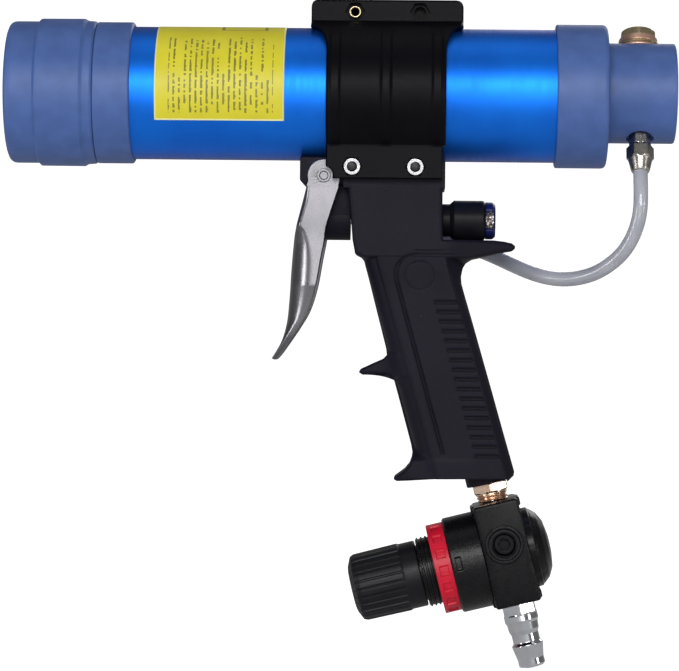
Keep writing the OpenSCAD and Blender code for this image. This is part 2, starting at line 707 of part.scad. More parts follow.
module knob() color([0.1, 0.1, 0.11]) at_knob() difference() {
    turned([[0, knob_a0], [9.4, knob_a0], [pull_r - 0.5, knob_a0 + 2.1],
        [pull_r, -42.9], [pull_r - 0.4, -42.9], [pull_r - 0.4, knob_a1], [0, knob_a1]]);
    difference() {
        rod(knob_a0 + 7, knob_a1 + e, pull_r - 2.2);
        rod(knob_a0, knob_a1 - e, 6.4);
    }
    translate([-58, 0, 0]) rotate([0, 90, 0]) cylinder(h = 30, r = adjust_r + 0.7, $fn = 6);
    for (k = [0:ribs - 1]) rotate([360 * k / ribs, 0, 0]) translate([0, 0, pull_r + 0.35])
        rod(knob_a0 - e, -43.4, 0.8);
}

module adjusting_screw() color([0.62, 0.62, 0.64]) at_knob() {
    translate([-57.5, 0, 0]) rotate([0, 90, 0]) cylinder(h = 21.6, r = adjust_r + 0.5, $fn = 6);
    rod(-36, nose_a0 + 4.1, adjust_r + 0.6);
    rod(nose_a0 + 4.1, nose_a0 + 6.1, adjust_r + 3);
    rod(nose_a0 + 6.1, -13.5, adjust_r);
}

module spring_seat() color([0.55, 0.55, 0.57]) at_knob()
    ring(-29, -26, adjust_r + fit, spring_room - loose);

module main_spring() color([0.5, 0.5, 0.52]) at_knob() coil(-26, block_a0 - 1.2, 8.6, 2, 4);

module diaphragm() color([0.15, 0.15, 0.15]) at_knob() rod(block_a0, block_a0 + 1.2, 16);

module diaphragm_plate() color([0.7, 0.7, 0.72]) at_knob() rod(block_a0 - 1.2, block_a0, 10.2);

module poppet() color([0.71, 0.62, 0.44]) at_knob() {
    rod(block_a0 + 1.4, 1.2, 1.5);
    rod(1.1, 4, 5);
    rod(4, 10.5, 2.05);
}

module poppet_spring() color([0.6, 0.6, 0.62]) at_knob() coil(4, 8, 3.6, 0.6, 4);

module air_inlet_plug() color([0.8, 0.8, 0.82]) at_regulator() difference() {
    union() {
        translate([0, 0, reg_low]) cylinder(h = 8.4, r = pipe_r - fit);
        hex_bar(reg_low - 5.6, reg_low, 13.4);
        rotate_extrude() polygon([[0, -31], [7, -31], [7.1, -33.6], [6.6, -34.4], [6.3, -37.6],
            [5.65, -39], [5.65, -42.4], [6.6, -43.6], [nose_plug_r, -49.5],
            [nose_plug_r, plug_low], [0, plug_low]]);
    }
    translate([0, 0, plug_low - e]) cylinder(h = 60, r = 2.8);
}

front_cap();
cap_washer();
front_collar();
barrel_tube();
label();
rear_cap();
air_head();
head_oring();
cartridge_seal();
air_plug();
plug_washer();
hose_fitting();
fitting_nut();
air_hose();
hose_elbow();
clamp_near();
clamp_far();
top_screw();
top_sleeve();
lower_screws();
lower_nuts();
at_grip() grip();
trigger();
trigger_pin();
pin_clip();
valve_bush();
valve_stem();
stem_orings();
valve_spring();
silencer_body();
silencer_ring();
silencer_screen();
inlet_nipple();
regulator_body();
regulator_cap();
gauge_plugs();
bonnet();
lock_ring();
knob();
adjusting_screw();
spring_seat();
main_spring();
diaphragm();
diaphragm_plate();
poppet();
poppet_spring();
air_inlet_plug();
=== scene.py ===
import math
import bmesh
import bpy
import numpy as np
from mathutils import Matrix, Vector


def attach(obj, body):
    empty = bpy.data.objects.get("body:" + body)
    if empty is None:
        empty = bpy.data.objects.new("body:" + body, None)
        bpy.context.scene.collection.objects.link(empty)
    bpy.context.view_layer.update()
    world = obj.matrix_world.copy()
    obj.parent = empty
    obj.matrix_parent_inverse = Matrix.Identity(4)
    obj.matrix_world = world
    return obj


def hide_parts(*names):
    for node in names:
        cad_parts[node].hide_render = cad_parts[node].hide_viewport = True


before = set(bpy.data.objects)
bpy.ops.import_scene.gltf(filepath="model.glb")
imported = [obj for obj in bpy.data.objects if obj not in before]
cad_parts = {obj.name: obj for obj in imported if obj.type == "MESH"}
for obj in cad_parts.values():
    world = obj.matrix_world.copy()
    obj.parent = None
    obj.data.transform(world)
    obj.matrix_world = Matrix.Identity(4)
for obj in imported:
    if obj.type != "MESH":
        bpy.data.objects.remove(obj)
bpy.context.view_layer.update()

# ---- Camera, floor and light --------------------------------------------------------------
# A long lens looks square at the side of the gun from 1.25 m. The gun hangs in front of a pale
# sweep: a floor that curves up into a wall. One strip light stands above the camera and a low
# one at its height, with a wide weak panel behind them, one box on each side, one overhead
# and one behind.
scene = bpy.context.scene
scene.view_settings.view_transform = "Standard"
EYE = Vector((0.171, -1.25, -0.1005))
AIM = Vector((0.1379, 0.0, -0.1000))
LENS = 159.6
ROLL = math.radians(0.60)

camera = bpy.data.objects.new("camera", bpy.data.cameras.new("camera"))
camera.data.lens = LENS
camera.data.sensor_width = 36.0
camera.data.clip_end = 20.0
turn = (AIM - EYE).to_track_quat("-Z", "Y").to_matrix().to_4x4()
camera.matrix_world = Matrix.Translation(EYE) @ turn @ Matrix.Rotation(ROLL, 4, "Z")
scene.collection.objects.link(camera)
scene.camera = camera


def soft_box(name, place, aim, size, power):
    """A rectangular white area light at place, facing aim."""
    light = bpy.data.lights.new(name, "AREA")
    light.shape = "RECTANGLE"
    light.size, light.size_y = size
    light.energy = power
    lamp = bpy.data.objects.new(name, light)
    facing = (Vector(aim) - Vector(place)).to_track_quat("-Z", "Y").to_matrix().to_4x4()
    lamp.matrix_world = Matrix.Translation(place) @ facing
    scene.collection.objects.link(lamp)


soft_box("key_high", (0.15, -1.9, 0.56), (0.14, 0.0, -0.05), (1.3, 0.45), 18.0)
soft_box("key_low", (0.15, -1.9, -0.12), (0.14, 0.0, -0.05), (1.3, 0.20), 3.2)
soft_box("panel", (0.15, -2.6, 0.0), (0.14, 0.0, -0.05), (2.6, 2.0), 5.0)
soft_box("left", (-1.25, -0.9, 0.05), (0.14, 0.0, -0.08), (0.35, 0.5), 6.0)
soft_box("right", (1.55, -0.9, 0.05), (0.14, 0.0, -0.08), (0.35, 0.5), 4.0)
soft_box("overhead", (0.15, -0.1, 1.3), (0.14, 0.0, -0.1), (1.2, 0.7), 1.6)
soft_box("rear", (0.7, 1.5, 0.7), (0.14, 0.0, -0.08), (1.0, 0.8), 5.0)

world = bpy.data.worlds.new("studio")
world.use_nodes = True
world.node_tree.nodes["Background"].inputs["Color"].default_value = (1.0, 1.0, 1.0, 1.0)
world.node_tree.nodes["Background"].inputs["Strength"].default_value = 0.16
scene.world = world


def new_object(name, mesh):
    """Links a mesh into the scene as an object at the origin."""
    piece = bpy.data.objects.new(name, mesh)
    scene.collection.objects.link(piece)
    return piece


def grid_mesh(name, grid, wrap_rows=False, wrap_columns=False, smooth_angle=35.0):
    """Quads between neighbouring points of a (rows, columns, 3) array of places. Points that
    coincide, as at a pole, are merged, and the faces are turned outwards."""
    rows, columns = grid.shape[:2]
    index = np.arange(rows * columns).reshape(rows, columns)
    if wrap_rows:
        index = np.vstack([index, index[:1]])
    if wrap_columns:
        index = np.hstack([index, index[:, :1]])
    quads = np.stack([index[:-1, :-1], index[1:, :-1], index[1:, 1:], index[:-1, 1:]], -1)
    quads = quads.reshape(-1, 4)
    mesh = bpy.data.meshes.new(name)
    mesh.from_pydata(grid.reshape(-1, 3), [], quads)
    mesh.validate()
    tidy = bmesh.new()
    tidy.from_mesh(mesh)
    bmesh.ops.remove_doubles(tidy, verts=tidy.verts, dist=1e-6)
    bmesh.ops.dissolve_degenerate(tidy, edges=tidy.edges, dist=1e-7)
    bmesh.ops.recalc_face_normals(tidy, faces=tidy.faces)
    tidy.to_mesh(mesh)
    tidy.free()
    mesh.polygons.foreach_set("use_smooth", np.ones(len(mesh.polygons), bool))
    mesh.set_sharp_from_angle(angle=math.radians(smooth_angle))
    return mesh


SWEEP_FLOOR = -0.2368
SWEEP_FRONT = -3.5
SWEEP_BACK = 3.2
SWEEP_BEND = 0.7
SWEEP_TOP = 3.5
bend_turn = np.linspace(0.0, math.pi / 2, 40)
run = np.concatenate([np.linspace(SWEEP_FRONT, SWEEP_BACK, 20),
                      SWEEP_BACK + SWEEP_BEND * np.sin(bend_turn),
                      np.full(12, SWEEP_BACK + SWEEP_BEND)])
rise = np.concatenate([np.zeros(20), SWEEP_BEND * (1.0 - np.cos(bend_turn)),
                       np.linspace(SWEEP_BEND, SWEEP_TOP, 12)])
across = np.linspace(-4.0, 4.0, 9)
sweep_grid = np.stack([np.broadcast_to(across, (len(run), 9)),
                       np.broadcast_to(run[:, None], (len(run), 9)),
                       np.broadcast_to(rise[:, None] + SWEEP_FLOOR, (len(run), 9))], -1)
floor = new_object("sweep", grid_mesh("sweep", sweep_grid))
if floor.data.polygons[0].normal.z < 0:
    floor.data.flip_normals()
# The paper glows at full strength as seen and far less as a light, which keeps the
# undersides dark.
paper = bpy.data.materials.new("sweep_paper")
paper.use_nodes = True
nodes, links = paper.node_tree.nodes, paper.node_tree.links
sheen = nodes["Principled BSDF"]
sheen.inputs["Base Color"].default_value = (0.60, 0.60, 0.60, 1)
sheen.inputs["Roughness"].default_value = 0.9
sheen.inputs["Emission Color"].default_value = (1, 1, 1, 1)
glow = nodes.new("ShaderNodeMapRange")
links.new(nodes.new("ShaderNodeLightPath").outputs["Is Camera Ray"], glow.inputs["Value"])
for label, number in (("From Min", 0.0), ("From Max", 1.0), ("To Min", 0.12), ("To Max", 0.92)):
    glow.inputs[label].default_value = number
links.new(glow.outputs["Result"], sheen.inputs["Emission Strength"])
floor.data.materials.append(paper)


# ---- Front cap and collar -----------------------------------------------------------------
# The cap is a cast aluminium screw cap, painted matt slate blue, with a raised band to grip
# and a hole for the nozzle. It screws over the collar's neck; the collar is pressed on the tube.
MM = 0.001
AXIS_X = np.array([[1.0, 0, 0], [0, 1.0, 0], [0, 0, 1.0]])


def rounded(corners, steps=5, closed=True):
    """A closed or open outline with rounded corners. Each corner is (a, r, radius): the two
    sides are cut back by the tangent length and joined by an arc, drawn as a quadratic curve.
    A support point close to each arc keeps the flats flat when shaded."""
    corners = np.array(corners, float)
    count = len(corners)
    out = []
    for i, (a, r, radius) in enumerate(corners):
        here = np.array([a, r])
        if not closed and i in (0, count - 1) or radius <= 0:
            out.append(here)
            continue
        back = corners[i - 1, :2] - here
        on = corners[(i + 1) % count, :2] - here
        l0, l1 = np.linalg.norm(back), np.linalg.norm(on)
        back, on = back / l0, on / l1
        half = math.acos(np.clip(back @ on, -1, 1)) / 2
        reach = min(radius / math.tan(half), 0.45 * l0, 0.45 * l1)
        start, end = here + back * reach, here + on * reach
        t = np.linspace(0, 1, steps + 1)[:, None]
        arc = (1 - t) ** 2 * start + 2 * t * (1 - t) * here + t ** 2 * end
        out += [here + back * min(reach * 1.25, 0.5 * l0), *arc,
                here + on * min(reach * 1.25, 0.5 * l1)]
    return np.array(out)


def turned(name, outline, axes=AXIS_X, origin=(0, 0, 0), sides=160, shape=None, closed=True,
           smooth_angle=35.0):
    """A profile swept round an axis: at angle t, a point (a, r) goes to
    origin + a * axis + r * (cos t * up + sin t * side). shape may change r for each a and t.
    axes holds the axis, the side and the up direction; lengths are in millimetres."""
    axes = np.array(axes, float)
    angle = np.linspace(0, 2 * math.pi, sides, endpoint=False)
    a = np.broadcast_to(outline[:, :1], (len(outline), sides))
    r = np.broadcast_to(outline[:, 1:2], a.shape).copy()
    if shape is not None:
        r = shape(a, r, np.broadcast_to(angle, a.shape))
    grid = (np.array(origin, float) + a[..., None] * axes[0]
            + (r * np.sin(angle))[..., None] * axes[1]
            + (r * np.cos(angle))[..., None] * axes[2])
    mesh = grid_mesh(name, grid * MM, wrap_rows=closed, wrap_columns=True,
                     smooth_angle=smooth_angle)
    return new_object(name, mesh)


def tree_of(material):
    """Turns a material's nodes on and gives its tree and its Principled shader."""
    material.use_nodes = True
    return material.node_tree, material.node_tree.nodes["Principled BSDF"]


def shader_group(name, inputs, outputs):
    """An empty shader node group with number inputs (name: value) and typed outputs."""
    group = bpy.data.node_groups.new(name, "ShaderNodeTree")
    for label, value in inputs.items():
        socket = group.interface.new_socket(label, in_out="INPUT", socket_type="NodeSocketFloat")
        socket.default_value = value
    for label, kind in outputs.items():
        group.interface.new_socket(label, in_out="OUTPUT", socket_type=kind)
    return group, group.nodes.new("NodeGroupInput"), group.nodes.new("NodeGroupOutput")


def noise(tree, vector, scale, detail=3.0, rough=0.55):
    """A noise texture node read at vector."""
    node = tree.nodes.new("ShaderNodeTexNoise")
    node.inputs["Scale"].default_value = scale
    node.inputs["Detail"].default_value = detail
    node.inputs["Roughness"].default_value = rough
    tree.links.new(vector, node.inputs["Vector"])
    return node.outputs["Fac"]


def ranged(tree, value, low, high, to_low, to_high):
    """Maps value from low..high to to_low..to_high, clamped."""
    node = tree.nodes.new("ShaderNodeMapRange")
    tree.links.new(value, node.inputs["Value"])
    for label, number in (("From Min", low), ("From Max", high),
                          ("To Min", to_low), ("To Max", to_high)):
        node.inputs[label].default_value = number
    return node.outputs["Result"]


def blended(tree, mask, first, second):
    """Mixes two colours by a mask. A colour is a tuple, or a socket."""
    node = tree.nodes.new("ShaderNodeMix")
    node.data_type = "RGBA"
    tree.links.new(mask, node.inputs["Factor"])
    for socket, colour in ((node.inputs[6], first), (node.inputs[7], second)):
        if isinstance(colour, tuple):
            socket.default_value = (*colour, 1.0)
        else:
            tree.links.new(colour, socket)
    return node.outputs[2]


def bumped(tree, shader, height, strength, distance):
    """Feeds a height through a bump node into the shader's normal."""
    node = tree.nodes.new("ShaderNodeBump")
    node.inputs["Strength"].default_value = strength
    node.inputs["Distance"].default_value = distance
    tree.links.new(height, node.inputs["Height"])
    tree.links.new(node.outputs["Normal"], shader.inputs["Normal"])


# Surface grain that every finish shares: a coarse mottle for the colour, a fine one for the
# bump and sparse specks of dust, all read in the piece's own coordinates.
grain, grain_in, grain_out = shader_group(
    "surface_grain", {"Mottle": 90.0, "Grain": 2500.0, "Specks": 420.0},
    {"Mottle": "NodeSocketFloat", "Grain": "NodeSocketFloat", "Specks": "NodeSocketFloat"})
place = grain.nodes.new("ShaderNodeTexCoord").outputs["Object"]
for label, detail in (("Mottle", 4.0), ("Grain", 2.0)):
    texture = grain.nodes.new("ShaderNodeTexNoise")
    texture.inputs["Detail"].default_value = detail
    grain.links.new(place, texture.inputs["Vector"])
    grain.links.new(grain_in.outputs[label], texture.inputs["Scale"])
    grain.links.new(texture.outputs["Fac"], grain_out.inputs[label])
cells = grain.nodes.new("ShaderNodeTexVoronoi")
grain.links.new(place, cells.inputs["Vector"])
grain.links.new(grain_in.outputs["Specks"], cells.inputs["Scale"])
grain.links.new(ranged(grain, cells.outputs["Distance"], 0.012, 0.028, 1.0, 0.0),
                grain_out.inputs["Specks"])


def grain_of(tree, mottle=90.0, fine=2500.0, specks=420.0):
    """Places the shared grain in a material with its own scales."""
    node = tree.nodes.new("ShaderNodeGroup")
    node.node_tree = grain
    node.inputs["Mottle"].default_value = mottle
    node.inputs["Grain"].default_value = fine
    node.inputs["Specks"].default_value = specks
    return node.outputs["Mottle"], node.outputs["Grain"], node.outputs["Specks"]


def finish_of(name, light, dark, rough=(0.4, 0.55), metal=0.0, bump=0.08, depth=0.02,
              mottle=90.0, fine=2500.0, specks=None, speck_colour=(0.6, 0.6, 0.6), coat=0.0,
              shine=0.5):
    """A material whose colour drifts between two tones with the mottle, whose roughness and
    height follow the fine grain, and which can carry sparse specks."""
    material = bpy.data.materials.new(name)
    tree, shader = tree_of(material)
    soft, grit, dots = grain_of(tree, mottle, fine, specks or 420.0)
    colour = blended(tree, ranged(tree, soft, 0.35, 0.65, 0.0, 1.0), dark, light)
    if specks:
        colour = blended(tree, dots, colour, speck_colour)
    tree.links.new(colour, shader.inputs["Base Color"])
    tree.links.new(ranged(tree, grit, 0.3, 0.7, *rough), shader.inputs["Roughness"])
    shader.inputs["Metallic"].default_value = metal
    shader.inputs["Specular IOR Level"].default_value = shine
    shader.inputs["Coat Weight"].default_value = coat
    shader.inputs["Coat Roughness"].default_value = 0.15
    bumped(tree, shader, grit, bump, depth * MM)
    return material


def settle(piece, material, body, slot, *nodes):
    """Gives a piece its material and the body it moves with, and hides the nodes it shows. slot is not
    used.
    """
    piece.data.materials.clear()
    piece.data.materials.append(material)
    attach(piece, body)
    if nodes:
        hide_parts(*nodes)
    return piece


slate_paint = finish_of("slate_paint", (0.058, 0.120, 0.345), (0.046, 0.100, 0.296),
                        rough=(0.42, 0.56), bump=0.25, depth=0.05, mottle=130.0, fine=1500.0,
                        specks=90.0, speck_colour=(0.16, 0.24, 0.46))

cap_outline = rounded([
    (0, 11, 0.4), (0, 29.4, 3.2), (12.2, 29.4, 0.5), (13.2, 30.55, 1.2), (31.2, 30.6, 0.6),
    (32.6, 29.75, 0.8), (35.6, 29.55, 0.6), (36.5, 28.9, 0.4), (36.5, 27.7, 0.2),
    (4, 27.7, 0.3), (4, 11, 0.4)])
settle(turned("cap_shell", cap_outline), slate_paint, "cap", "cap_blue", "front_cap")

collar_outline = rounded([
    (22, 25.7, 0.2), (22, 27.4, 0.4), (36.7, 27.4, 0.1), (36.7, 29.3, 0.5), (51.5, 29.3, 1.0),
    (51.9, 27.56, 0.3), (39, 27.56, 0), (39, 25.7, 0)])
settle(turned("collar_shell", collar_outline), slate_paint, "gun", "cap_blue", "front_collar")


# ---- Barrel tube --------------------------------------------------------------------------
# Drawn aluminium tube, anodised bright blue. Fine lines run round it from turning. The colour is
# darkened where the surface turns away from the camera, so the edges carry painted shade.
anodised = bpy.data.materials.new("anodised_blue")
tree, shader = tree_of(anodised)
soft, _, _ = grain_of(tree, 40.0, 1800.0)
where = tree.nodes.new("ShaderNodeTexCoord").outputs["Object"]
squeeze = tree.nodes.new("ShaderNodeMapping")
squeeze.inputs["Scale"].default_value = (2600.0, 60.0, 60.0)
tree.links.new(where, squeeze.inputs["Vector"])
lines = noise(tree, squeeze.outputs["Vector"], 1.0, 2.0)
# Painted shade: a dark navy is blended in as the surface turns away from the camera.
rim = tree.nodes.new("ShaderNodeLayerWeight")
rim.inputs["Blend"].default_value = 0.35
face = blended(tree, ranged(tree, soft, 0.35, 0.65, 0.0, 1.0), (0.006, 0.16, 0.80),
               (0.008, 0.20, 0.90))
tree.links.new(blended(tree, ranged(tree, rim.outputs["Facing"], 0.35, 0.95, 0.0, 1.0), face,
                       (0.018, 0.016, 0.150)), shader.inputs["Base Color"])
tree.links.new(ranged(tree, lines, 0.3, 0.7, 0.38, 0.48), shader.inputs["Roughness"])
shader.inputs["Metallic"].default_value = 0.85
bumped(tree, shader, lines, 0.12, 0.00002)
settle(turned("tube_shell", rounded([(39, 25.7, 0.2), (39, 27.5, 0.3), (240, 27.5, 0.3),
                                     (240, 25.7, 0.2)]), sides=240),
       anodised, "gun", "tube_blue", "barrel_tube")


# ---- Label --------------------------------------------------------------------------------
# A thin yellow plastic sticker on the near side and over the top, printed in black. Its lines
# read along the barrel's girth; plain bars stand for the words, and a box for the drawing.
LABEL_X = (62.0, 115.0)
LABEL_R = 27.6
low_turn = -math.acos(-12.8 / LABEL_R)
high_turn = math.asin(12.0 / LABEL_R)
turn_row = np.linspace(low_turn, high_turn, 120)
along = np.linspace(*LABEL_X, 48)
near = np.stack([np.broadcast_to(along, (120, 48)),
                 np.broadcast_to(np.sin(turn_row)[:, None], (120, 48)),
                 np.broadcast_to(np.cos(turn_row)[:, None], (120, 48))], -1)
scale_out = np.array([1.0, 27.64, 27.64])
scale_in = np.array([1.0, 27.53, 27.53])
sticker = grid_mesh("label_sheet", np.concatenate([near * scale_out, (near * scale_in)[::-1]])
                    * MM, wrap_rows=True)
rim_shell = bmesh.new()
rim_shell.from_mesh(sticker)
bmesh.ops.holes_fill(rim_shell, edges=[e for e in rim_shell.edges if e.is_boundary], sides=0)
bmesh.ops.recalc_face_normals(rim_shell, faces=rim_shell.faces)
rim_shell.to_mesh(sticker)
rim_shell.free()
sticker = new_object("label_sheet", sticker)
spots = np.empty(len(sticker.data.vertices) * 3, np.float32)
sticker.data.vertices.foreach_get("co", spots)
spots = spots.reshape(-1, 3)
unrolled = np.stack([(spots[:, 0] / MM - LABEL_X[0]) / (LABEL_X[1] - LABEL_X[0]),
                     (np.arctan2(spots[:, 1], spots[:, 2]) - low_turn)
                     / (high_turn - low_turn)], -1)
loop_vertex = np.empty(len(sticker.data.loops), np.int32)
sticker.data.loops.foreach_get("vertex_index", loop_vertex)
uv = sticker.data.uv_layers.new(name="flat")
uv.data.foreach_set("uv", unrolled[loop_vertex].astype(np.float32).ravel())


def arithmetic(tree, kind, first, second=0.0, third=None):
    """A math node; each input is a number or a socket."""
    node = tree.nodes.new("ShaderNodeMath")
    node.operation = kind
    for socket, value in zip(node.inputs, (first, second, third)):
        if isinstance(value, (int, float)):
            socket.default_value = value
        elif value is not None:
            tree.links.new(value, socket)
    return node.outputs[0]


def between(tree, value, low, high):
    """One where value lies between low and high, nought outside."""
    return arithmetic(tree, "MULTIPLY", arithmetic(tree, "GREATER_THAN", value, low),
                      arithmetic(tree, "LESS_THAN", value, high))


sticker_ink = bpy.data.materials.new("printed_label")
tree, shader = tree_of(sticker_ink)
soft, grit, _ = grain_of(tree, 70.0, 2200.0)
flat = tree.nodes.new("ShaderNodeUVMap")
flat.uv_map = "flat"
parts = tree.nodes.new("ShaderNodeSeparateXYZ")
tree.links.new(flat.outputs["UV"], parts.inputs["Vector"])
across, down = parts.outputs["X"], parts.outputs["Y"]
ROWS = 23.5
row = arithmetic(tree, "MULTIPLY", across, ROWS)
row_number = arithmetic(tree, "FLOOR", row)
in_row = arithmetic(tree, "FRACT", row)
cell = arithmetic(tree, "FLOOR", arithmetic(tree, "MULTIPLY", down, 78.0))
pair = tree.nodes.new("ShaderNodeCombineXYZ")
tree.links.new(row_number, pair.inputs["X"])
tree.links.new(cell, pair.inputs["Y"])
words = tree.nodes.new("ShaderNodeTexWhiteNoise")
words.noise_dimensions = "2D"
tree.links.new(pair.outputs["Vector"], words.inputs["Vector"])
gaps = arithmetic(tree, "GREATER_THAN", words.outputs["Value"], 0.26)
stripe = arithmetic(tree, "MULTIPLY", arithmetic(tree, "GREATER_THAN", in_row, 0.34),
                    arithmetic(tree, "LESS_THAN", in_row, ranged(
                        tree, words.outputs["Value"], 0.2, 1.0, 0.60, 0.80)))
ends = tree.nodes.new("ShaderNodeTexWhiteNoise")
ends.noise_dimensions = "1D"
tree.links.new(row_number, ends.inputs["W"])
start = ranged(tree, arithmetic(tree, "FRACT", arithmetic(tree, "MULTIPLY", ends.outputs[
    "Value"], 7.0)), 0.72, 0.74, 0.048, 0.098)
finish = arithmetic(tree, "SUBTRACT", ranged(tree, ends.outputs["Value"], 0.0, 1.0, 0.47, 0.56),
                    ranged(tree, ends.outputs["Value"], 0.22, 0.24, 0.2, 0.0))
body_text = arithmetic(tree, "MULTIPLY", arithmetic(tree, "GREATER_THAN", down, start),
                       arithmetic(tree, "LESS_THAN", down, finish))
margins = between(tree, across, 0.106, 0.915)
text = arithmetic(tree, "MULTIPLY", arithmetic(tree, "MULTIPLY", stripe, gaps),
                  arithmetic(tree, "MULTIPLY", body_text, margins))
frame_x = arithmetic(tree, "ABSOLUTE", arithmetic(tree, "SUBTRACT", across, 0.68))
frame_y = arithmetic(tree, "ABSOLUTE", arithmetic(tree, "SUBTRACT", down, 0.70))
edge = arithmetic(tree, "MAXIMUM", arithmetic(tree, "MULTIPLY", frame_x, 5.8),
                  arithmetic(tree, "MULTIPLY", frame_y, 21.0))
drawing = between(tree, edge, 0.90, 1.04)
print_mask = arithmetic(tree, "MAXIMUM", text, drawing)
faded = arithmetic(tree, "MULTIPLY", print_mask, ranged(tree, soft, 0.3, 0.7, 0.62, 0.78))
yellow = blended(tree, ranged(tree, soft, 0.35, 0.65, 0.0, 1.0), (0.62, 0.555, 0.018),
                 (0.68, 0.610, 0.026))
film = arithmetic(tree, "MINIMUM", between(tree, across, 0.011, 0.989),
                  arithmetic(tree, "GREATER_THAN", down, 0.010))
yellow = blended(tree, film, (0.80, 0.78, 0.36), yellow)
tree.links.new(blended(tree, faded, yellow, (0.05, 0.05, 0.02)), shader.inputs["Base Color"])
tree.links.new(ranged(tree, grit, 0.3, 0.7, 0.38, 0.5), shader.inputs["Roughness"])
bumped(tree, shader, grit, 0.05, 0.00002)
settle(sticker, sticker_ink, "gun", "label_yellow", "label")


# ---- Rear cap and air head ----------------------------------------------------------------
# A painted screw ring holds the machined head on the tube. The head is solid aluminium, set
# a little off the barrel's axis, with a brass plug on top and the hose fitting below.
def cut(piece, *tools):
    """Takes the tools' solids out of a piece and removes the tools."""
    for tool in tools:
        notch = piece.modifiers.new("notch", "BOOLEAN")
        notch.operation = "DIFFERENCE"
        notch.solver = "EXACT"
        notch.object = tool
    bpy.context.view_layer.update()
    shaped = bpy.data.meshes.new_from_object(
        piece.evaluated_get(bpy.context.evaluated_depsgraph_get()))
    piece.modifiers.clear()
    piece.data = shaped
    shaped.polygons.foreach_set("use_smooth", np.ones(len(shaped.polygons), bool))
    shaped.set_sharp_from_angle(angle=math.radians(30.0))
    for tool in tools:
        bpy.data.objects.remove(tool)
    return piece


ring_outline = rounded([
    (226.2, 27.56, 0.2), (226.2, 29.7, 0.8), (247.4, 29.7, 2.2), (247.4, 23.1, 0.4),
    (244.3, 23.1, 0), (244.3, 27.56, 0)])
settle(turned("rear_ring", ring_outline), slate_paint, "gun", "cap_blue", "rear_cap")

PORT_X = 261.0
PORT_TURN = math.radians(22.0)
PORT_UP = np.array([0.0, math.sin(PORT_TURN), math.cos(PORT_TURN)])
PORT_SIDE = np.array([0.0, math.cos(PORT_TURN), -math.sin(PORT_TURN)])
UPWARD = [PORT_UP, PORT_SIDE, np.array([1.0, 0, 0])]
DOWNWARD = [-PORT_UP, -PORT_SIDE, np.array([1.0, 0, 0])]
PORT = np.array([PORT_X, 0.0, 0.0])
head = turned("head_block", rounded([
    (240.1, 0, 0), (240.1, 20.7, 0), (275.6, 20.7, 1.0), (275.6, 0, 0)], closed=False),
    origin=PORT_UP * 1.65, closed=False)


def drill(name, low, high, radius, axes, origin, sides=72):
    """A plain round solid to cut with."""
    return turned(name, np.array([[low, 0.0], [low, radius], [high, radius], [high, 0.0]]),
                  axes=axes, origin=origin, sides=sides, closed=False)


cut(head, drill("seat_cut", 19.9, 40.0, 10.5, UPWARD, PORT),
    drill("fitting_cut", 17.4, 40.0, 5.7, DOWNWARD, PORT))
settle(head, slate_paint, "gun", "cap_blue")
flange = turned("head_flange", rounded([
    (226, 8, 0.2), (226, 25.4, 0.3), (240, 25.4, 0), (240, 27.2, 0.2), (244, 27.2, 0.2),
    (244, 8, 0)]))
settle(flange, slate_paint, "gun", "cap_blue")
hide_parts("air_head")


# ---- Brass plug and hose fitting ----------------------------------------------------------
# The plug closes the charging port: a brass hexagon over a copper collar, on a soft copper
# washer. Below, a nickelled brass push-on fitting with a hexagon nut grips the hose.
def hexed_between(flat_to_flat, low, high, phase=0.0):
    """Limits a profile's radius to a hexagon from low to high along the axis: the distance to
    a flat is half the size over the cosine of the angle from it, and the corners are eased."""
    def shape(a, r, angle):
        bay = np.mod(angle - phase + math.pi / 6, math.pi / 3) - math.pi / 6
        side = flat_to_flat / 2 / np.cos(bay)
        limit = np.minimum(side, flat_to_flat / math.sqrt(3) * 0.985)
        return np.where((a >= low) & (a <= high), np.minimum(r, limit), r)
    return shape


brass = finish_of("turned_brass", (0.66, 0.56, 0.36), (0.50, 0.41, 0.24), rough=(0.26, 0.42),
                  metal=1.0, bump=0.2, depth=0.02, mottle=160.0, fine=1200.0, specks=300.0,
                  speck_colour=(0.36, 0.27, 0.14))
copper = finish_of("soft_copper", (0.82, 0.54, 0.41), (0.66, 0.42, 0.30), rough=(0.30, 0.45),
                   metal=0.9, bump=0.2, depth=0.02, mottle=200.0)
nickel = finish_of("dull_nickel", (0.50, 0.47, 0.43), (0.36, 0.34, 0.31), rough=(0.20, 0.34),
                   metal=1.0, bump=0.12, depth=0.015, mottle=220.0)

plug_profile = rounded([
    (12, 0, 0), (12, 6.5, 0.3), (21.4, 6.5, 0), (21.4, 10.0, 0.2), (22.0, 9.9, 0.3),
    (23.6, 7.9, 0.2), (26.1, 7.8, 0.1), (26.15, 7.75, 0), (28.7, 7.7, 0.3), (29.5, 6.9, 0.3),
    (29.5, 0, 0)], closed=False)
settle(turned("charge_plug", plug_profile, axes=UPWARD, origin=PORT, sides=192,
              shape=hexed_between(14.0, 26.12, 29.6), closed=False, smooth_angle=25.0),
       brass, "gun", "brass", "air_plug")
settle(turned("plug_collar", rounded([(23.7, 7.6, 0.1), (23.7, 8.1, 0.2), (26.0, 8.1, 0.3),
                                      (26.0, 7.6, 0.1)]), axes=UPWARD, origin=PORT),
       copper, "gun", "copper_washer")
settle(turned("copper_washer", rounded([(19.9, 6.7, 0.2), (19.9, 10.1, 0.6), (21.3, 10.1, 0.6),
                                        (21.3, 6.7, 0.2)]), axes=UPWARD, origin=PORT),
       copper, "gun", "copper_washer", "plug_washer")

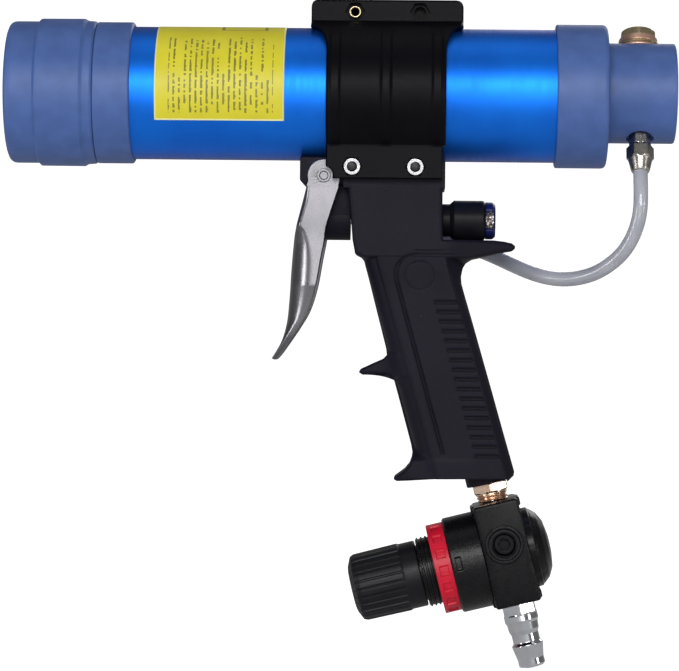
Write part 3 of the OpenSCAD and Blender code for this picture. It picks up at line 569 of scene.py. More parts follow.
fitting_profile = rounded([
    (10, 2, 0), (10, 4.2, 0.3), (17.4, 4.2, 0), (17.4, 4.5, 0.3), (22.0, 4.5, 0.3),
    (22.6, 3.9, 0.1), (22.6, 2, 0)])
settle(turned("hose_fitting_body", fitting_profile, axes=DOWNWARD, origin=PORT, sides=144,
              shape=hexed_between(8.0, 17.3, 22.3, math.pi / 6), smooth_angle=25.0),
       nickel, "gun", "nickel_brass", "hose_fitting")
nut_profile = rounded([
    (22.6, 2.2, 0), (22.6, 4.6, 0.2), (23.6, 5.7, 0.2), (28.2, 5.7, 0.3), (29.0, 4.9, 0.3),
    (33.4, 3.9, 0.4), (34.2, 3.5, 0.3), (34.2, 2.9, 0.1), (33.0, 2.2, 0)])
settle(turned("hose_nut", nut_profile, axes=DOWNWARD, origin=PORT, sides=144,
              shape=hexed_between(10.0, 22.5, 28.7, math.pi / 6), smooth_angle=25.0),
       nickel, "gun", "nickel_brass", "fitting_nut")


# ---- Air hose -----------------------------------------------------------------------------
# Six-millimetre clear polyurethane tube with a smoky tint. It drops out of the fitting under
# the rear head, swings forward in one loop and is pushed into the elbow behind the grip.
HOSE_D = 6.0 * MM
HOSE_ROUTE = np.array([
    [261, -12.82, -31.73], [261, -14.6, -36.1], [261, -16, -41.3], [260.8, -16.7, -46.8],
    [259.9, -16.4, -52.4], [257.8, -15.1, -58.6], [254.4, -12.8, -64.4], [249.6, -9.6, -69.2],
    [243.8, -5.8, -72.9], [237.5, -1.7, -75], [230.8, 2.8, -75.7], [224, 7.3, -74.9],
    [217.3, 11.6, -72.9], [210.8, 15.5, -70.1], [204.4, 18.7, -67.1], [197.9, 21, -64.3],
    [191.2, 22.4, -61.9], [185, 22.9, -60], [179.8, 23, -58.3], [175.08, 23, -56.6]]) * MM


def smooth_route(points, steps):
    """A curve through every point: between two points, a cubic whose slope at each point is
    half the step from its neighbour before to its neighbour after."""
    ends = np.vstack([2 * points[0] - points[1], points, 2 * points[-1] - points[-2]])
    t = np.linspace(0.0, 1.0, steps, endpoint=False)[:, None]
    before, start, end, after = ends[:-3], ends[1:-2], ends[2:-1], ends[3:]
    legs = [0.5 * (2 * b + (c - a) * t + (2 * a - 5 * b + 4 * c - d) * t ** 2
                   + (3 * b - a - 3 * c + d) * t ** 3)
            for a, b, c, d in zip(before, start, end, after)]
    return np.vstack(legs + [points[-1:]])


def tube_rings(route, radius, sides, side=(0.0, 1.0, 0.0)):
    """Rings of a tube: round each point of the route, a circle square to the route's heading,
    measured from a fixed side direction. radius may be one number or one for each ring."""
    heading = np.gradient(route, axis=0)
    heading /= np.linalg.norm(heading, axis=1, keepdims=True)
    u = np.cross(np.array(side), heading)
    u /= np.linalg.norm(u, axis=1, keepdims=True)
    v = np.cross(heading, u)
    angle = np.linspace(0.0, 2 * math.pi, sides, endpoint=False)[None, :, None]
    radius = np.broadcast_to(radius, len(route))[:, None, None]
    return route[:, None] + radius * (np.cos(angle) * u[:, None] + np.sin(angle) * v[:, None])


hose_pu = bpy.data.materials.new("clear_polyurethane")
tree, shader = tree_of(hose_pu)
mottle, fine, _ = grain_of(tree, mottle=60.0)
tint = blended(tree, ranged(tree, mottle, 0.35, 0.65, 0.0, 1.0),
               (0.52, 0.53, 0.60), (0.66, 0.67, 0.73))
tree.links.new(tint, shader.inputs["Base Color"])
tree.links.new(ranged(tree, fine, 0.3, 0.7, 0.12, 0.22), shader.inputs["Roughness"])
shader.inputs["Transmission Weight"].default_value = 0.45
shader.inputs["IOR"].default_value = 1.45
shader.inputs["Coat Weight"].default_value = 0.3
bumped(tree, shader, mottle, 0.15, 0.0006)

hose_line = smooth_route(HOSE_ROUTE, 6)
HOSE_SIDES = 32
outer = tube_rings(hose_line, HOSE_D / 2, HOSE_SIDES)
inner = tube_rings(hose_line, HOSE_D / 2 - 1.0 * MM, HOSE_SIDES)
hose = new_object("air_hose_tube", grid_mesh(
    "air_hose_tube", np.concatenate([outer, inner[::-1]]), wrap_rows=True, wrap_columns=True))
hose.data.materials.append(hose_pu)
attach(hose, "gun")
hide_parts("air_hose")


# ---- Clamp shells -------------------------------------------------------------------------
# Two moulded glass-filled nylon shells hug the barrel: a flat flange on top, three ribs round
# the saddle and flat wings below that hold the grip. They are a satin black, off the mould.
CLAMP_X = 156.5


def slab_along(outer, inner, left, right, corner, ribs=(), rib_height=1.0, wide=90):
    """A thick sheet. outer and inner are the two faces' lines in Y and Z, point for point, and
    left and right where each ends along X. Round the sheet, a rounded rectangle runs: over the
    outer face, round the right rim, back over the inner face and round the left one. Points
    crowd at the ribs' edges, which are placed by the line at the waist."""
    turn_r = np.linspace(0, math.pi, 9)
    rim_x = np.sin(turn_r) * corner
    rim_w = (1 - np.cos(turn_r)) / 2
    span = np.linspace(0, 1, wide)
    waist = 40
    for middle, half, _ in ribs:
        for edge in (middle - half, middle + half):
            near_edge = ((edge + np.linspace(-0.9, 0.9, 15) - left[waist] - corner)
                         / (right[waist] - left[waist] - 2 * corner))
            span = np.sort(np.concatenate([span[np.abs(span - near_edge[7]) > 0.020],
                                           near_edge[(near_edge > 0) & (near_edge < 1)]]))
    wide = len(span)
    rows = []
    for o, i, x0, x1 in zip(outer, inner, left, right):
        a, b = x0 + corner, x1 - corner
        x = np.concatenate([a + (b - a) * span, b + rim_x[1:-1], b + (a - b) * span,
                            a - rim_x[1:-1]])
        w = np.concatenate([np.zeros(wide), rim_w[1:-1], np.ones(wide), rim_w[1:-1][::-1]])
        yz = o + (i - o) * w[:, None]
        out = (o - i) / max(np.linalg.norm(o - i), 1e-9)
        lift = np.zeros_like(x)
        for middle, half, weight in ribs:
            step = np.clip((half - np.abs(x - middle)) / 1.5 + 0.5, 0, 1)
            lift = np.maximum(lift, weight[len(rows)] * rib_height * step * step
                              * (3 - 2 * step))
        lift = np.where(w < 0.01, lift, 0)
        rows.append(np.column_stack([x, yz + out * lift[:, None]]))
    grid = np.array(rows)
    top, foot = (row.mean(1, keepdims=True).repeat(grid.shape[1], 1)
                 for row in (grid[:1], grid[-1:]))
    return np.concatenate([top, grid, foot])


def clamp_lines(side):
    """The outer and inner faces' lines of one shell, from the top edge down to the wing."""
    flange = np.concatenate([[0.0, 0.25, 0.9, 1.0], np.linspace(1.3, 8.6, 16)])
    top_o = np.column_stack([np.full(20, 7.0) - 0.8 * np.clip(1 - flange, 0, 1) ** 2,
                             38.9 - flange])
    top_i = np.column_stack([np.full(20, 0.4), np.linspace(38.9, 27.9, 20)])
    phi = np.radians(np.linspace(13.4, 135.4, 110))
    mid_o = 30.8 * np.column_stack([np.sin(phi), np.cos(phi)])
    psi = np.radians(np.linspace(1.0, 143.0, 110))
    mid_i = 27.6 * np.column_stack([np.sin(psi), np.cos(psi)])
    fall = np.concatenate([np.linspace(0.05, 0.96, 60), [0.97, 0.985, 1.0]])
    low_o = np.column_stack([np.full(63, 21.55) - 0.5 * np.clip((fall - 0.97) / 0.03, 0, 1) ** 2,
                             -22.0 - 13.7 * fall])
    low_i = np.column_stack([np.full(63, 16.55), -22.1 - 13.6 * fall])
    outer, inner = np.concatenate([top_o, mid_o, low_o]), np.concatenate([top_i, mid_i, low_i])
    z = outer[:, 1]
    rise = np.clip((z - 15.5) / 12.0, 0, 1)
    half = 31.5 - 7.0 * np.sqrt(1 - rise ** 2) * (z < 27.5)
    half -= 2.5 * (1 - np.sqrt(np.clip(1 - (np.clip(z - 36.4, 0, 2.5) / 2.5) ** 2, 0, 1)))
    left, right = CLAMP_X - half, CLAMP_X + half
    right = np.where(z < -22.0, 180.0, right)
    notch = 131.2 + np.sqrt(np.clip(3.7 ** 2 - (z + 34.4) ** 2, 0, None))
    left = np.where(z < -22.0, np.maximum(132.0, notch), left)
    on_saddle = np.clip((27.0 - z) / 4.0, 0, 1) * np.clip((z + 22.5) / 2.5, 0, 1)
    signs = np.array([side, 1.0])
    return outer * signs, inner * signs, left, right, on_saddle


def prism(name, x, z, y0, y1, flat_to_flat, turn=0.0):
    """A hexagonal solid along Y to cut with."""
    angle = np.radians(np.arange(6) * 60.0 + turn)
    ring = flat_to_flat / math.sqrt(3) * np.column_stack([np.cos(angle), np.sin(angle)])
    grid = np.array([[(x, y, z)] * 6 if flat else [(x + p, y, z + q) for p, q in ring]
                     for y, flat in ((y0, True), (y0, False), (y1, False), (y1, True))])
    return new_object(name, grid_mesh(name, grid * MM, wrap_columns=True))


ALONG_Y = [np.array([0, 1.0, 0]), np.array([1.0, 0, 0]), np.array([0, 0, 1.0])]
TOP_SCREWS = [(143.2, 33.8), (170.0, 33.8)]
LOW_SCREWS = [(142.8, -30.9), (168.7, -30.9)]
nylon = finish_of("moulded_nylon", (0.0030, 0.0030, 0.0048), (0.0020, 0.0020, 0.0034),
                  rough=(0.34, 0.46), shine=0.07, bump=0.18, depth=0.03, mottle=60.0, fine=1400.0,
                  specks=140.0, speck_colour=(0.02, 0.02, 0.023))
for side, label in ((-1, "near"), (1, "far")):
    outer_line, inner_line, left, right, saddle = clamp_lines(side)
    ribs = [(CLAMP_X + x, 2.0, saddle) for x in (-20.9, 0.0, 20.9)]
    shell = new_object(f"clamp_shell_{label}", grid_mesh(f"clamp_shell_{label}", slab_along(
        outer_line, inner_line, left, right, 0.7, ribs) * MM))
    tools = [drill(f"bore_{n}", -30, 30, 2.5, ALONG_Y, (x, 0, z), 48)
             for n, (x, z) in enumerate(TOP_SCREWS[:1] if side > 0 else TOP_SCREWS)]
    tools += [drill(f"hole_{n}", -30, 30, 2.2, ALONG_Y, (x, 0, z), 48)
              for n, (x, z) in enumerate(LOW_SCREWS)]
    if side < 0:
        tools += [prism(f"top_pocket_{n}", x, z, -9, -3.8, 7.4) for n, (x, z) in
                  enumerate(TOP_SCREWS)]
        tools += [prism(f"low_pocket_{n}", x, z, -24, -18.35, 7.4) for n, (x, z) in
                  enumerate(LOW_SCREWS)]
    settle(cut(shell, *tools), nylon, "gun", "clamp_black", f"clamp_{label}")


# ---- Screws, nuts and sleeve --------------------------------------------------------------
# Four-millimetre socket screws come through from the far side. The lower two end in zinc nuts
# sunk in the near wing; the top left one ends in a brass sleeve, and the top right is empty.
zinc = finish_of("bright_zinc", (0.44, 0.44, 0.46), (0.32, 0.32, 0.35), rough=(0.18, 0.32),
                 metal=1.0, bump=0.15, depth=0.015, mottle=260.0)
black_oxide = finish_of("black_oxide", (0.030, 0.028, 0.030), (0.018, 0.017, 0.019),
                        rough=(0.35, 0.5), metal=0.6, bump=0.15, depth=0.02, mottle=260.0)


def threaded(pitch, depth, low, high):
    """Ripples a radius as a screw thread does, between two places along the axis."""
    def shape(a, r, angle):
        phase = np.mod(a / pitch - angle / (2 * math.pi), 1.0)
        wave = np.abs(phase - 0.5) * 2 * depth
        fade = np.clip((a - low) / pitch, 0, 1) * np.clip((high - a) / pitch, 0, 1)
        return r - np.where((a > low) & (a < high) & (r > 0.3), wave * fade, 0.0)
    return shape


def steady(low, high, step, radius, end_radius=None):
    """A straight run of profile points from low to high, step apart or a little less."""
    places = np.linspace(low, high, max(2, int(math.ceil((high - low) / step)) + 1))
    return np.column_stack([places, np.linspace(radius, end_radius or radius, len(places))])


for n, (x, z) in enumerate(LOW_SCREWS):
    nut = turned(f"lower_nut_{n}", rounded([
        (-21.0, 2.05, 0.15), (-21.0, 3.3, 0.3), (-20.4, 4.05, 0.2), (-18.6, 4.05, 0.2),
        (-18.35, 3.6, 0.1), (-18.35, 2.05, 0.1)]), axes=ALONG_Y, origin=(x, 0, z), sides=144,
        shape=hexed_between(7.0, -22, -18), smooth_angle=25.0)
    settle(nut, zinc, "gun", "zinc_steel", *(["lower_nuts"] if n == 0 else []))
    outline = np.vstack([
        [[-20.9, 0], [-20.9, 1.4]], steady(-20.7, 20.0, 0.12, 1.98),
        rounded([(21.55, 1.9, 0), (21.55, 3.4, 0.3), (24.2, 3.4, 0.5), (24.2, 1.5, 0.1),
                 (22.7, 1.4, 0.1), (22.7, 0, 0)], closed=False)])
    screw = turned(f"lower_screw_{n}", outline, axes=ALONG_Y, origin=(x, 0, z), sides=48,
                   shape=threaded(0.7, 0.35, -22.0, 4.0), closed=False)
    settle(screw, black_oxide, "gun", "black_steel", *(["lower_screws"] if n == 0 else []))
sleeve = turned("top_sleeve_ring", rounded([
    (-6.9, 1.75, 0.3), (-6.9, 2.42, 0.35), (-2.6, 2.42, 0.2), (-2.6, 1.75, 0)]),
    axes=ALONG_Y, origin=(143.2, 0, 33.8), sides=64)
settle(sleeve, brass, "gun", "brass", "top_sleeve")
settle(turned("top_screw_rod", rounded([
    (-3.8, 0, 0), (-3.8, 1.66, 0.2), (7.0, 1.9, 0), (7.0, 3.4, 0.2), (9.8, 3.4, 0.5),
    (9.8, 1.5, 0.1), (8.2, 1.4, 0.1), (8.2, 0, 0)], closed=False), axes=ALONG_Y,
    origin=(143.2, 0, 33.8), sides=64, closed=False),
    black_oxide, "gun", "black_steel", "top_screw")


# ---- Pistol grip --------------------------------------------------------------------------
# One moulding in black nylon: the valve block under the barrel, a lug that carries the
# trigger, a rear fin over the hand, a rounded handle with finger rests, and a socket below.
FRONT = np.array([
    [141.1, -36.4], [141.1, -36.9], [141.9, -45], [142.6, -53], [143.2, -60.6], [144.3, -66.3],
    [146.5, -67.4], [147.9, -69.2], [150.0, -77], [153.1, -89], [157.3, -105], [157.7, -107.8],
    [156.2, -109.4], [152, -111.3], [146.9, -113.7], [146.2, -115.1], [147.7, -116.1],
    [152, -116.0], [157.6, -115.9], [159.6, -116.4], [160.7, -118], [164.2, -130.5],
    [168.1, -144.7], [168.7, -147.7], [168.4, -150.2], [167.5, -152.8], [165.4, -155.2],
    [161.4, -158.1], [161.0, -159.0], [162.3, -159.7]])
BACK = np.array([
    [180.0, -36.4], [180.0, -43], [180.0, -50], [180.1, -56.5], [180.4, -60.2], [201.5, -60.1],
    [205.6, -60.5], [208.9, -61.2], [210.3, -62.3], [210.2, -63.4], [209.1, -64.3],
    [203.9, -65.2], [197.0, -66.9], [192.5, -67.9], [190.1, -69.5], [188.8, -71.6],
    [188.0, -75.2], [188.2, -78.1], [189.6, -83], [192.6, -92.9], [197.0, -108],
    [201.4, -123], [206.0, -139], [210.8, -155.4], [210.5, -157.0], [207.9, -159.3]])


def distance_to(points, lines):
    """The shortest distance from each point to a set of straight segments."""
    best = np.full(len(points), 1e9)
    for a, b in zip(lines[:-1], lines[1:]):
        along_line = np.clip(((points - a) @ (b - a)) / max((b - a) @ (b - a), 1e-12), 0, 1)
        best = np.minimum(best, np.linalg.norm(points - a - along_line[:, None] * (b - a),
                                               axis=1))
    return best


def eased(value, low, high):
    """Rises smoothly from nought at low to one at high."""
    t = np.clip((value - low) / (high - low), 0, 1)
    return t * t * (3 - 2 * t)


def blend_max(a, b, width):
    """The larger of two heights, with a fillet about as wide as width where they meet."""
    gap = np.clip((a - b) / width, -1, 1)
    return np.maximum(a, b) + width * (1 - np.abs(gap)) ** 2 / 4


HANDLE_TOP = np.array([148.6, -72.0])
HANDLE_SLOPE = math.radians(15.8)
HANDLE_OUT = np.array([-math.cos(HANDLE_SLOPE), -math.sin(HANDLE_SLOPE)])
HANDLE_DEPTH = 37.6


def side_height(x, z):
    """How far the grip's side stands from its middle plane at a point of its side view."""
    point = np.stack([x, z], -1) - HANDLE_TOP
    depth_in = -(point @ HANDLE_OUT)
    front = np.clip(depth_in, 0, 7.5)
    back = np.clip(HANDLE_DEPTH - depth_in, 0, 4.9)
    round_front = np.sqrt(np.clip(1 - (1 - front / 7.5) ** 2, 0, 1))
    round_back = 0.25 + 0.75 * back / 4.9
    handle = 5.0 + 9.9 * np.minimum(round_front, round_back)
    panel = np.minimum(eased(depth_in, 4.9, 5.8), eased(HANDLE_DEPTH - depth_in, 4.3, 5.0))
    handle = handle + 0.6 * panel * eased(-z, 60, 66)
    handle = np.where((depth_in > 0) & (depth_in < HANDLE_DEPTH), handle, 4.0)
    handle = handle + 0.95 * (1 - eased(-z, 60, 84)) * panel
    block = 16.45 * eased(z, -71.5, -67.0) * (1 - 0.62 * eased(x, 180.5, 211))
    horn = (8.0 + 5.0 * eased(depth_in, -3.0, 4.0)) * eased(-z, 103, 108)
    horn = horn * eased(z, -122, -116) * (1 - eased(depth_in, 7.0, 15.0))
    foot = (14.3 - 4.5 * eased(-x, -167.5, -159.0)) * eased(-z, 141, 152)
    foot = foot * (1 - 0.5 * eased(depth_in, 20.0, 30.0))
    height = np.maximum(handle, block)
    height = blend_max(height, blend_max(horn, foot, 2.5), 3.0)
    return np.minimum(height, 16.5)


def grip_details(x, z):
    """The moulded details of the side: grooves for the palm, the long double line, the short
    double line and the round field, each as a depth below the side."""
    cut_depth = np.zeros_like(x)
    chamfer_at = HANDLE_DEPTH - 5.2
    near_back = -(np.stack([x, z], -1) - HANDLE_TOP) @ HANDLE_OUT - chamfer_at
    for n in range(17):
        middle = -86.0 - 3.94 * n
        left = 177.2 + 1.081 * n
        slot = np.maximum(np.abs(z - middle) - 0.55, np.maximum(left - x, near_back))
        cut_depth = np.maximum(cut_depth, 0.5 * (1 - eased(slot, -0.15, 0.45)))
    line = np.array([[168.7, -66.3], [166.2, -66.6], [164.3, -67.6], [162.4, -69.4],
                     [161.2, -71.6], [160.7, -74.2], [161.0, -77.5], [180.6, -148.4]])
    flat_points = np.column_stack([x.ravel(), z.ravel()])
    first = distance_to(flat_points, line).reshape(x.shape)
    second = distance_to(flat_points, line + [1.15, 0.25]).reshape(x.shape)
    cut_depth = np.maximum(cut_depth, 0.42 * (1 - eased(np.minimum(first, second), 0.10, 0.45)))
    for level in (-64.7, -66.1):
        bar = np.maximum(np.abs(z - level), np.abs(x - 176.7) - 8.1)
        cut_depth = np.maximum(cut_depth, 0.25 * (1 - eased(bar, 0.1, 0.4)))
    ring = np.abs(np.hypot(x - 171.0, z + 75.1) - 5.9)
    return np.maximum(cut_depth, 0.22 * (1 - eased(ring, 0.12, 0.42)))


def lean(x, z, at_z):
    """Where a line through (x, z), parallel to the handle, crosses the height at_z."""
    return [x + (z - at_z) * math.tan(HANDLE_SLOPE), at_z]


# Four lines run down the side: the front outline, two lines just inside it and the back
# outline. The marks pair the points where the four correspond.
MARKS = [(0, 0), (4, 4), (7, 17), (11, 20), (17, 21), (22, 22), (29, 25)]
INNER_FRONT = [[144.6, -36.4], [148.6, -60.6], [152.5, -69.8], lean(152.5, -69.2, -106.5),
               lean(152.5, -69.2, -118.5), lean(152.5, -69.2, -146), lean(152.5, -69.2, -158.6)]
INNER_BACK = [[176.6, -36.4], [178.0, -60.4], [182.6, -70.5], lean(185.0, -78.1, -107.5),
              lean(185.0, -78.1, -122), lean(185.0, -78.1, -139), lean(185.0, -78.1, -158.2)]


def divided(points, count):
    """Points evenly apart along a polyline, without its last point."""
    run = np.concatenate([[0], np.cumsum(np.linalg.norm(np.diff(points, axis=0), axis=1))])
    places = np.linspace(0, run[-1], count + 1)[:-1]
    return np.column_stack([np.interp(places, run, points[:, k]) for k in range(2)])


lines = [[], [], [], []]
for n, ((f0, b0), (f1, b1)) in enumerate(zip(MARKS[:-1], MARKS[1:])):
    legs = [FRONT[f0:f1 + 1], np.array(INNER_FRONT[n:n + 2]), np.array(INNER_BACK[n:n + 2]),
            BACK[b0:b1 + 1]]
    count = int(max(np.linalg.norm(np.diff(leg, axis=0), axis=1).sum() for leg in legs) / 0.50)
    for line, leg in zip(lines, legs):
        line.append(divided(leg, count))
ends = [FRONT[-1], INNER_FRONT[-1], INNER_BACK[-1], BACK[-1]]
lines = [np.vstack(line + [[end]]) for line, end in zip(lines, ends)]
outline_ring = np.vstack([lines[0], lines[3][::-1], lines[0][:1]])[::2]
edge_share = np.linspace(0, 1, 13) ** 1.7
columns = [lines[0][:, None] + (lines[1] - lines[0])[:, None] * edge_share[:-1, None],
           lines[1][:, None] + (lines[2] - lines[1])[:, None] * np.linspace(0, 1, 88)[:, None],
           lines[3][:, None] + (lines[2] - lines[3])[:, None] * edge_share[-2::-1, None]]
flat_side = np.concatenate(columns, 1)
flat_x, flat_z = flat_side[..., 0], flat_side[..., 1]
flat_points = flat_side.reshape(-1, 2)
to_edge = distance_to(flat_points, outline_ring).reshape(flat_x.shape)
EDGE_R = 1.6
edge_round = EDGE_R - np.sqrt(
    np.clip(EDGE_R ** 2 - np.clip(EDGE_R - to_edge, 0, EDGE_R) ** 2, 0, None))
height = side_height(flat_x, flat_z) - edge_round
inset = eased(to_edge, 0.0, 0.8)
near_side = np.stack([flat_x, -(height - grip_details(flat_x, flat_z) * inset), flat_z], -1)
far_side = np.stack([flat_x, height - grip_details(flat_x, flat_z) * inset, flat_z], -1)
grip_grid = np.concatenate([near_side, far_side[:, ::-1]], 1)
middle_top = grip_grid[:1] * [1, 0, 1]
middle_low = grip_grid[-1:] * [1, 0, 1]
grip_grid = np.concatenate([middle_top, grip_grid, middle_low])
handle = new_object("grip_moulding", grid_mesh("grip_moulding", grip_grid * MM,
                                               wrap_columns=True, smooth_angle=50.0))
grip_black = finish_of("grip_nylon", (0.0088, 0.0078, 0.0152), (0.0070, 0.0062, 0.0122),
                       rough=(0.46, 0.60), shine=0.12, bump=0.22, depth=0.03, mottle=45.0, fine=1600.0,
                       specks=90.0, speck_colour=(0.045, 0.043, 0.05))
# Painted shade: the grip's colour is darkened in its grooves, lines and ring, by their depth kept as the
# 'groove' attribute.
corner_places = np.empty(len(handle.data.vertices) * 3, np.float32)
handle.data.vertices.foreach_get("co", corner_places)
corner_places = corner_places.reshape(-1, 3) / MM
groove = grip_details(corner_places[:, 0], corner_places[:, 2])
groove[np.abs(corner_places[:, 1]) < 6.0] = 0.0
handle.data.attributes.new("groove", "FLOAT", "POINT").data.foreach_set(
    "value", groove.astype(np.float32))
groove_shade_tree = grip_black.node_tree
shade = groove_shade_tree.nodes.new("ShaderNodeAttribute")
shade.attribute_name = "groove"
skin_colour = groove_shade_tree.nodes["Principled BSDF"].inputs["Base Color"].links[0].from_socket
groove_shade_tree.links.new(blended(groove_shade_tree, ranged(groove_shade_tree, shade.outputs["Fac"], 0.1, 0.8, 0.0, 1.0),
                       skin_colour, (0.002, 0.002, 0.003)),
               groove_shade_tree.nodes["Principled BSDF"].inputs["Base Color"])
settle(handle, grip_black, "gun", "grip_black", "grip")


def prism_block(name, outline, half_width, radius=0.6):
    """A side outline in X and Z given thickness, its rim rounded: the outline steps in by the
    radius as it goes from the side wall round on to each face, then closes at its middle."""
    outline = np.array(outline, float)
    ring = rounded([(x, z, radius * 1.6) for x, z in outline], steps=4)
    centre = ring.mean(0)
    ahead = np.roll(ring, -1, 0) - np.roll(ring, 1, 0)
    normal = np.column_stack([ahead[:, 1], -ahead[:, 0]])
    normal /= np.maximum(np.linalg.norm(normal, axis=1, keepdims=True), 1e-9)
    if ((ring - centre) * normal).sum() < 0:
        normal = -normal
    rows = [np.column_stack([np.full(len(ring), centre[0]), np.full(len(ring), -half_width),
                             np.full(len(ring), centre[1])])]
    for t in np.linspace(0, math.pi / 2, 5):
        step = ring - normal * radius * (1 - math.sin(t))
        rows.append(np.column_stack([step[:, 0], np.full(len(ring), -half_width + radius
                                                         * (1 - math.cos(t))), step[:, 1]]))
    rows += [row * [1, -1, 1] for row in rows[::-1]]
    return new_object(name, grid_mesh(name, np.array(rows) * MM, wrap_columns=True))


settle(prism_block("trigger_lug", [(121.2, -26.5), (121.2, -36.1), (122.9, -37.9),
                                   (146.0, -37.9), (146.0, -26.5)], 12.9),
       grip_black, "gun", "grip_black")
settle(turned("valve_boss", rounded([(129.3, 6.6, 0.2), (129.3, 8.6, 0.5), (142.0, 8.6, 0),
                                     (142.0, 6.6, 0)]), origin=(0, 0, -51.8), sides=96),
       grip_black, "gun", "grip_black")
settle(prism_block("valve_web", [(129.6, -37.5), (129.6, -50.5), (142.5, -50.5),
                                 (142.5, -37.5)], 8.5), grip_black, "gun", "grip_black")
settle(prism_block("clamp_seat", [(139.2, -28.2), (139.2, -39.4), (181.0, -39.4),
                                  (181.0, -28.2)], 16.4, 0.3), grip_black, "gun",
       "grip_black")
FOOT = np.array([200.6, 0.0, -160.5])
LEAN = math.radians(14.0)
DOWN_PIPE = [np.array([math.sin(LEAN), 0, -math.cos(LEAN)]), np.array([0, 1.0, 0]),
             np.array([math.cos(LEAN), 0, math.sin(LEAN)])]
settle(turned("inlet_boss", rounded([(-9, 6.7, 0), (-9, 9.4, 0), (0, 9.4, 0.6), (0, 6.7, 0.4)]),
              axes=DOWN_PIPE, origin=FOOT, sides=96), grip_black, "gun", "grip_black")


# ---- Trigger ------------------------------------------------------------------------------
# Pressed from 2 mm steel and plated: a channel that is open to the rear. Its two cheeks turn
# on the pin; the web between them is bent over and widens below into a smooth finger paddle.
PIVOT = np.array([131.2, 0.0, -34.4])
LEADING = np.array([[-6.6, -2], [-8.9, -11.1], [-11.1, -20], [-12.4, -26.5], [-13.4, -38.6],
                    [-14, -49.4], [-15, -60.2], [-16.7, -67.4], [-19.4, -72.6], [-21.5, -75.7]])
TRAILING = np.array([[6.6, -2.7], [3.9, -11], [0.9, -20.7], [0.1, -27], [-1.2, -33.9],
                     [-3.3, -45.7], [-6.1, -55.1], [-9.6, -61.6], [-15.2, -70.2],
                     [-18.0, -74.2], [-19.9, -76.3]])
CREASE = np.array([[-5.9, -2], [-6.0, -9.4], [-8.2, -17.4], [-9.0, -20.5], [-7.0, -23.2],
                   [-4.6, -30.1], [-3.7, -38.5], [-4.8, -49.3], [-7.8, -57.4],
                   [-11.7, -63.2], [-16.9, -70.0], [-20.6, -75.9]])


def smooth_column(points, z):
    """A curve through points of falling z, read at the heights z."""
    curve = smooth_route(np.column_stack([points[:, 0], points[:, 0] * 0, points[:, 1]]), 12)
    order = np.argsort(curve[:, 2])
    return np.interp(z, curve[order, 2], curve[order, 0])


z = np.concatenate([np.linspace(-4.4, -70, 130), np.linspace(-70.5, -75.4, 18)])
lead, crease, trail = (smooth_column(p, z) for p in (LEADING, CREASE, TRAILING))
crease = np.clip(crease, lead + 0.25, trail - 0.15)
trail = np.maximum(trail, crease + 0.2)
half_width = np.interp(-z, [0, 45, 66, 73, 75.4], [15.5, 15.5, 11.2, 8.0, 5.2])
SHEET = 2.1


def cheek_section(n, inward):
    """One level of the channel, as points in X and Y from the near rear edge round the near
    cheek, over the web and back to the far rear edge, moved inward by a share of the sheet."""
    t = inward * SHEET
    w, x0, xc, x1 = half_width[n] - t, lead[n] + t, crease[n], trail[n]
    xc = max(xc, x0 + 0.1)
    cheek = np.column_stack([np.linspace(max(x1, xc + 0.05), xc, 18), np.full(18, -w)])
    turn = np.linspace(0, math.pi / 2, 17)[1:]
    reach = min(w * 0.72, max(xc - x0, 0.3) * 1.5)
    corner = np.column_stack([xc - (xc - x0) * np.sin(turn),
                              -w + reach * (1 - np.cos(turn))])
    web = np.column_stack([np.full(24, x0), np.linspace(-w + reach, w - reach, 25)[1:]])
    side = np.vstack([cheek, corner])
    return np.vstack([side, web[:-1], (side * [1, -1])[::-1]])


outside = np.array([cheek_section(n, 0.0) for n in range(len(z))])
inside = np.array([cheek_section(n, 1.0) for n in range(len(z))])
level = np.broadcast_to(z[:, None, None], outside.shape[:2] + (1,))
skin = np.concatenate([outside, level], -1)
lining = np.concatenate([inside, level], -1)
rim = (skin + lining) / 2
channel = np.concatenate([skin, rim[:, -1:] + [0.45, 0, 0], lining[:, ::-1],
                          rim[:, :1] + [0.45, 0, 0]], 1)
folded = np.concatenate([rim, rim[:, -1:], rim[:, ::-1], rim[:, :1]], 1)
channel = np.concatenate([folded[:1] + [0, 0, 0.35], channel,
                          folded[-1:] + [-0.15, 0, -0.45]])
paddle = new_object("trigger_channel", grid_mesh(
    "trigger_channel", (channel + PIVOT) * MM, wrap_columns=True, smooth_angle=40.0))
plated = finish_of("plated_sheet", (0.235, 0.23, 0.245), (0.18, 0.178, 0.19), rough=(0.27, 0.33),
                   metal=1.0, bump=0.06, depth=0.01, mottle=60.0, fine=1500.0)
settle(paddle, plated, "trigger", "plated_steel", "trigger")


def ear(name, side):
    """The round top of a cheek, from the pin down to the web's upper edge: its outline is the
    arc round the pin and the two edges below it."""
    arc = np.radians(np.linspace(0, 180, 30))
    outline = np.vstack([6.9 * np.column_stack([np.cos(arc), np.sin(arc)]),
                         [[-6.6, -2.0], [-7.25, -4.6]], [[6.02, -4.6], [6.6, -2.7]]])
    turn = np.linspace(0, 2 * math.pi, len(outline), endpoint=False)
    hole = 1.95 * np.column_stack([np.cos(turn), np.sin(turn)])
    rows = []
    for y, step in ((15.1, 0.0), (15.5, 0.4), (15.5, None), (13.4, None), (13.4, 0.4),
                    (13.8, 0.0)):
        ring = hole if step is None else outline * (1 - step / 8)
        rows.append(np.column_stack([ring[:, 0], np.full(len(ring), side * y), ring[:, 1]]))
    grid = np.array(rows) + PIVOT
    return new_object(name, grid_mesh(name, grid * MM, wrap_rows=True, wrap_columns=True,
                                      smooth_angle=30.0))


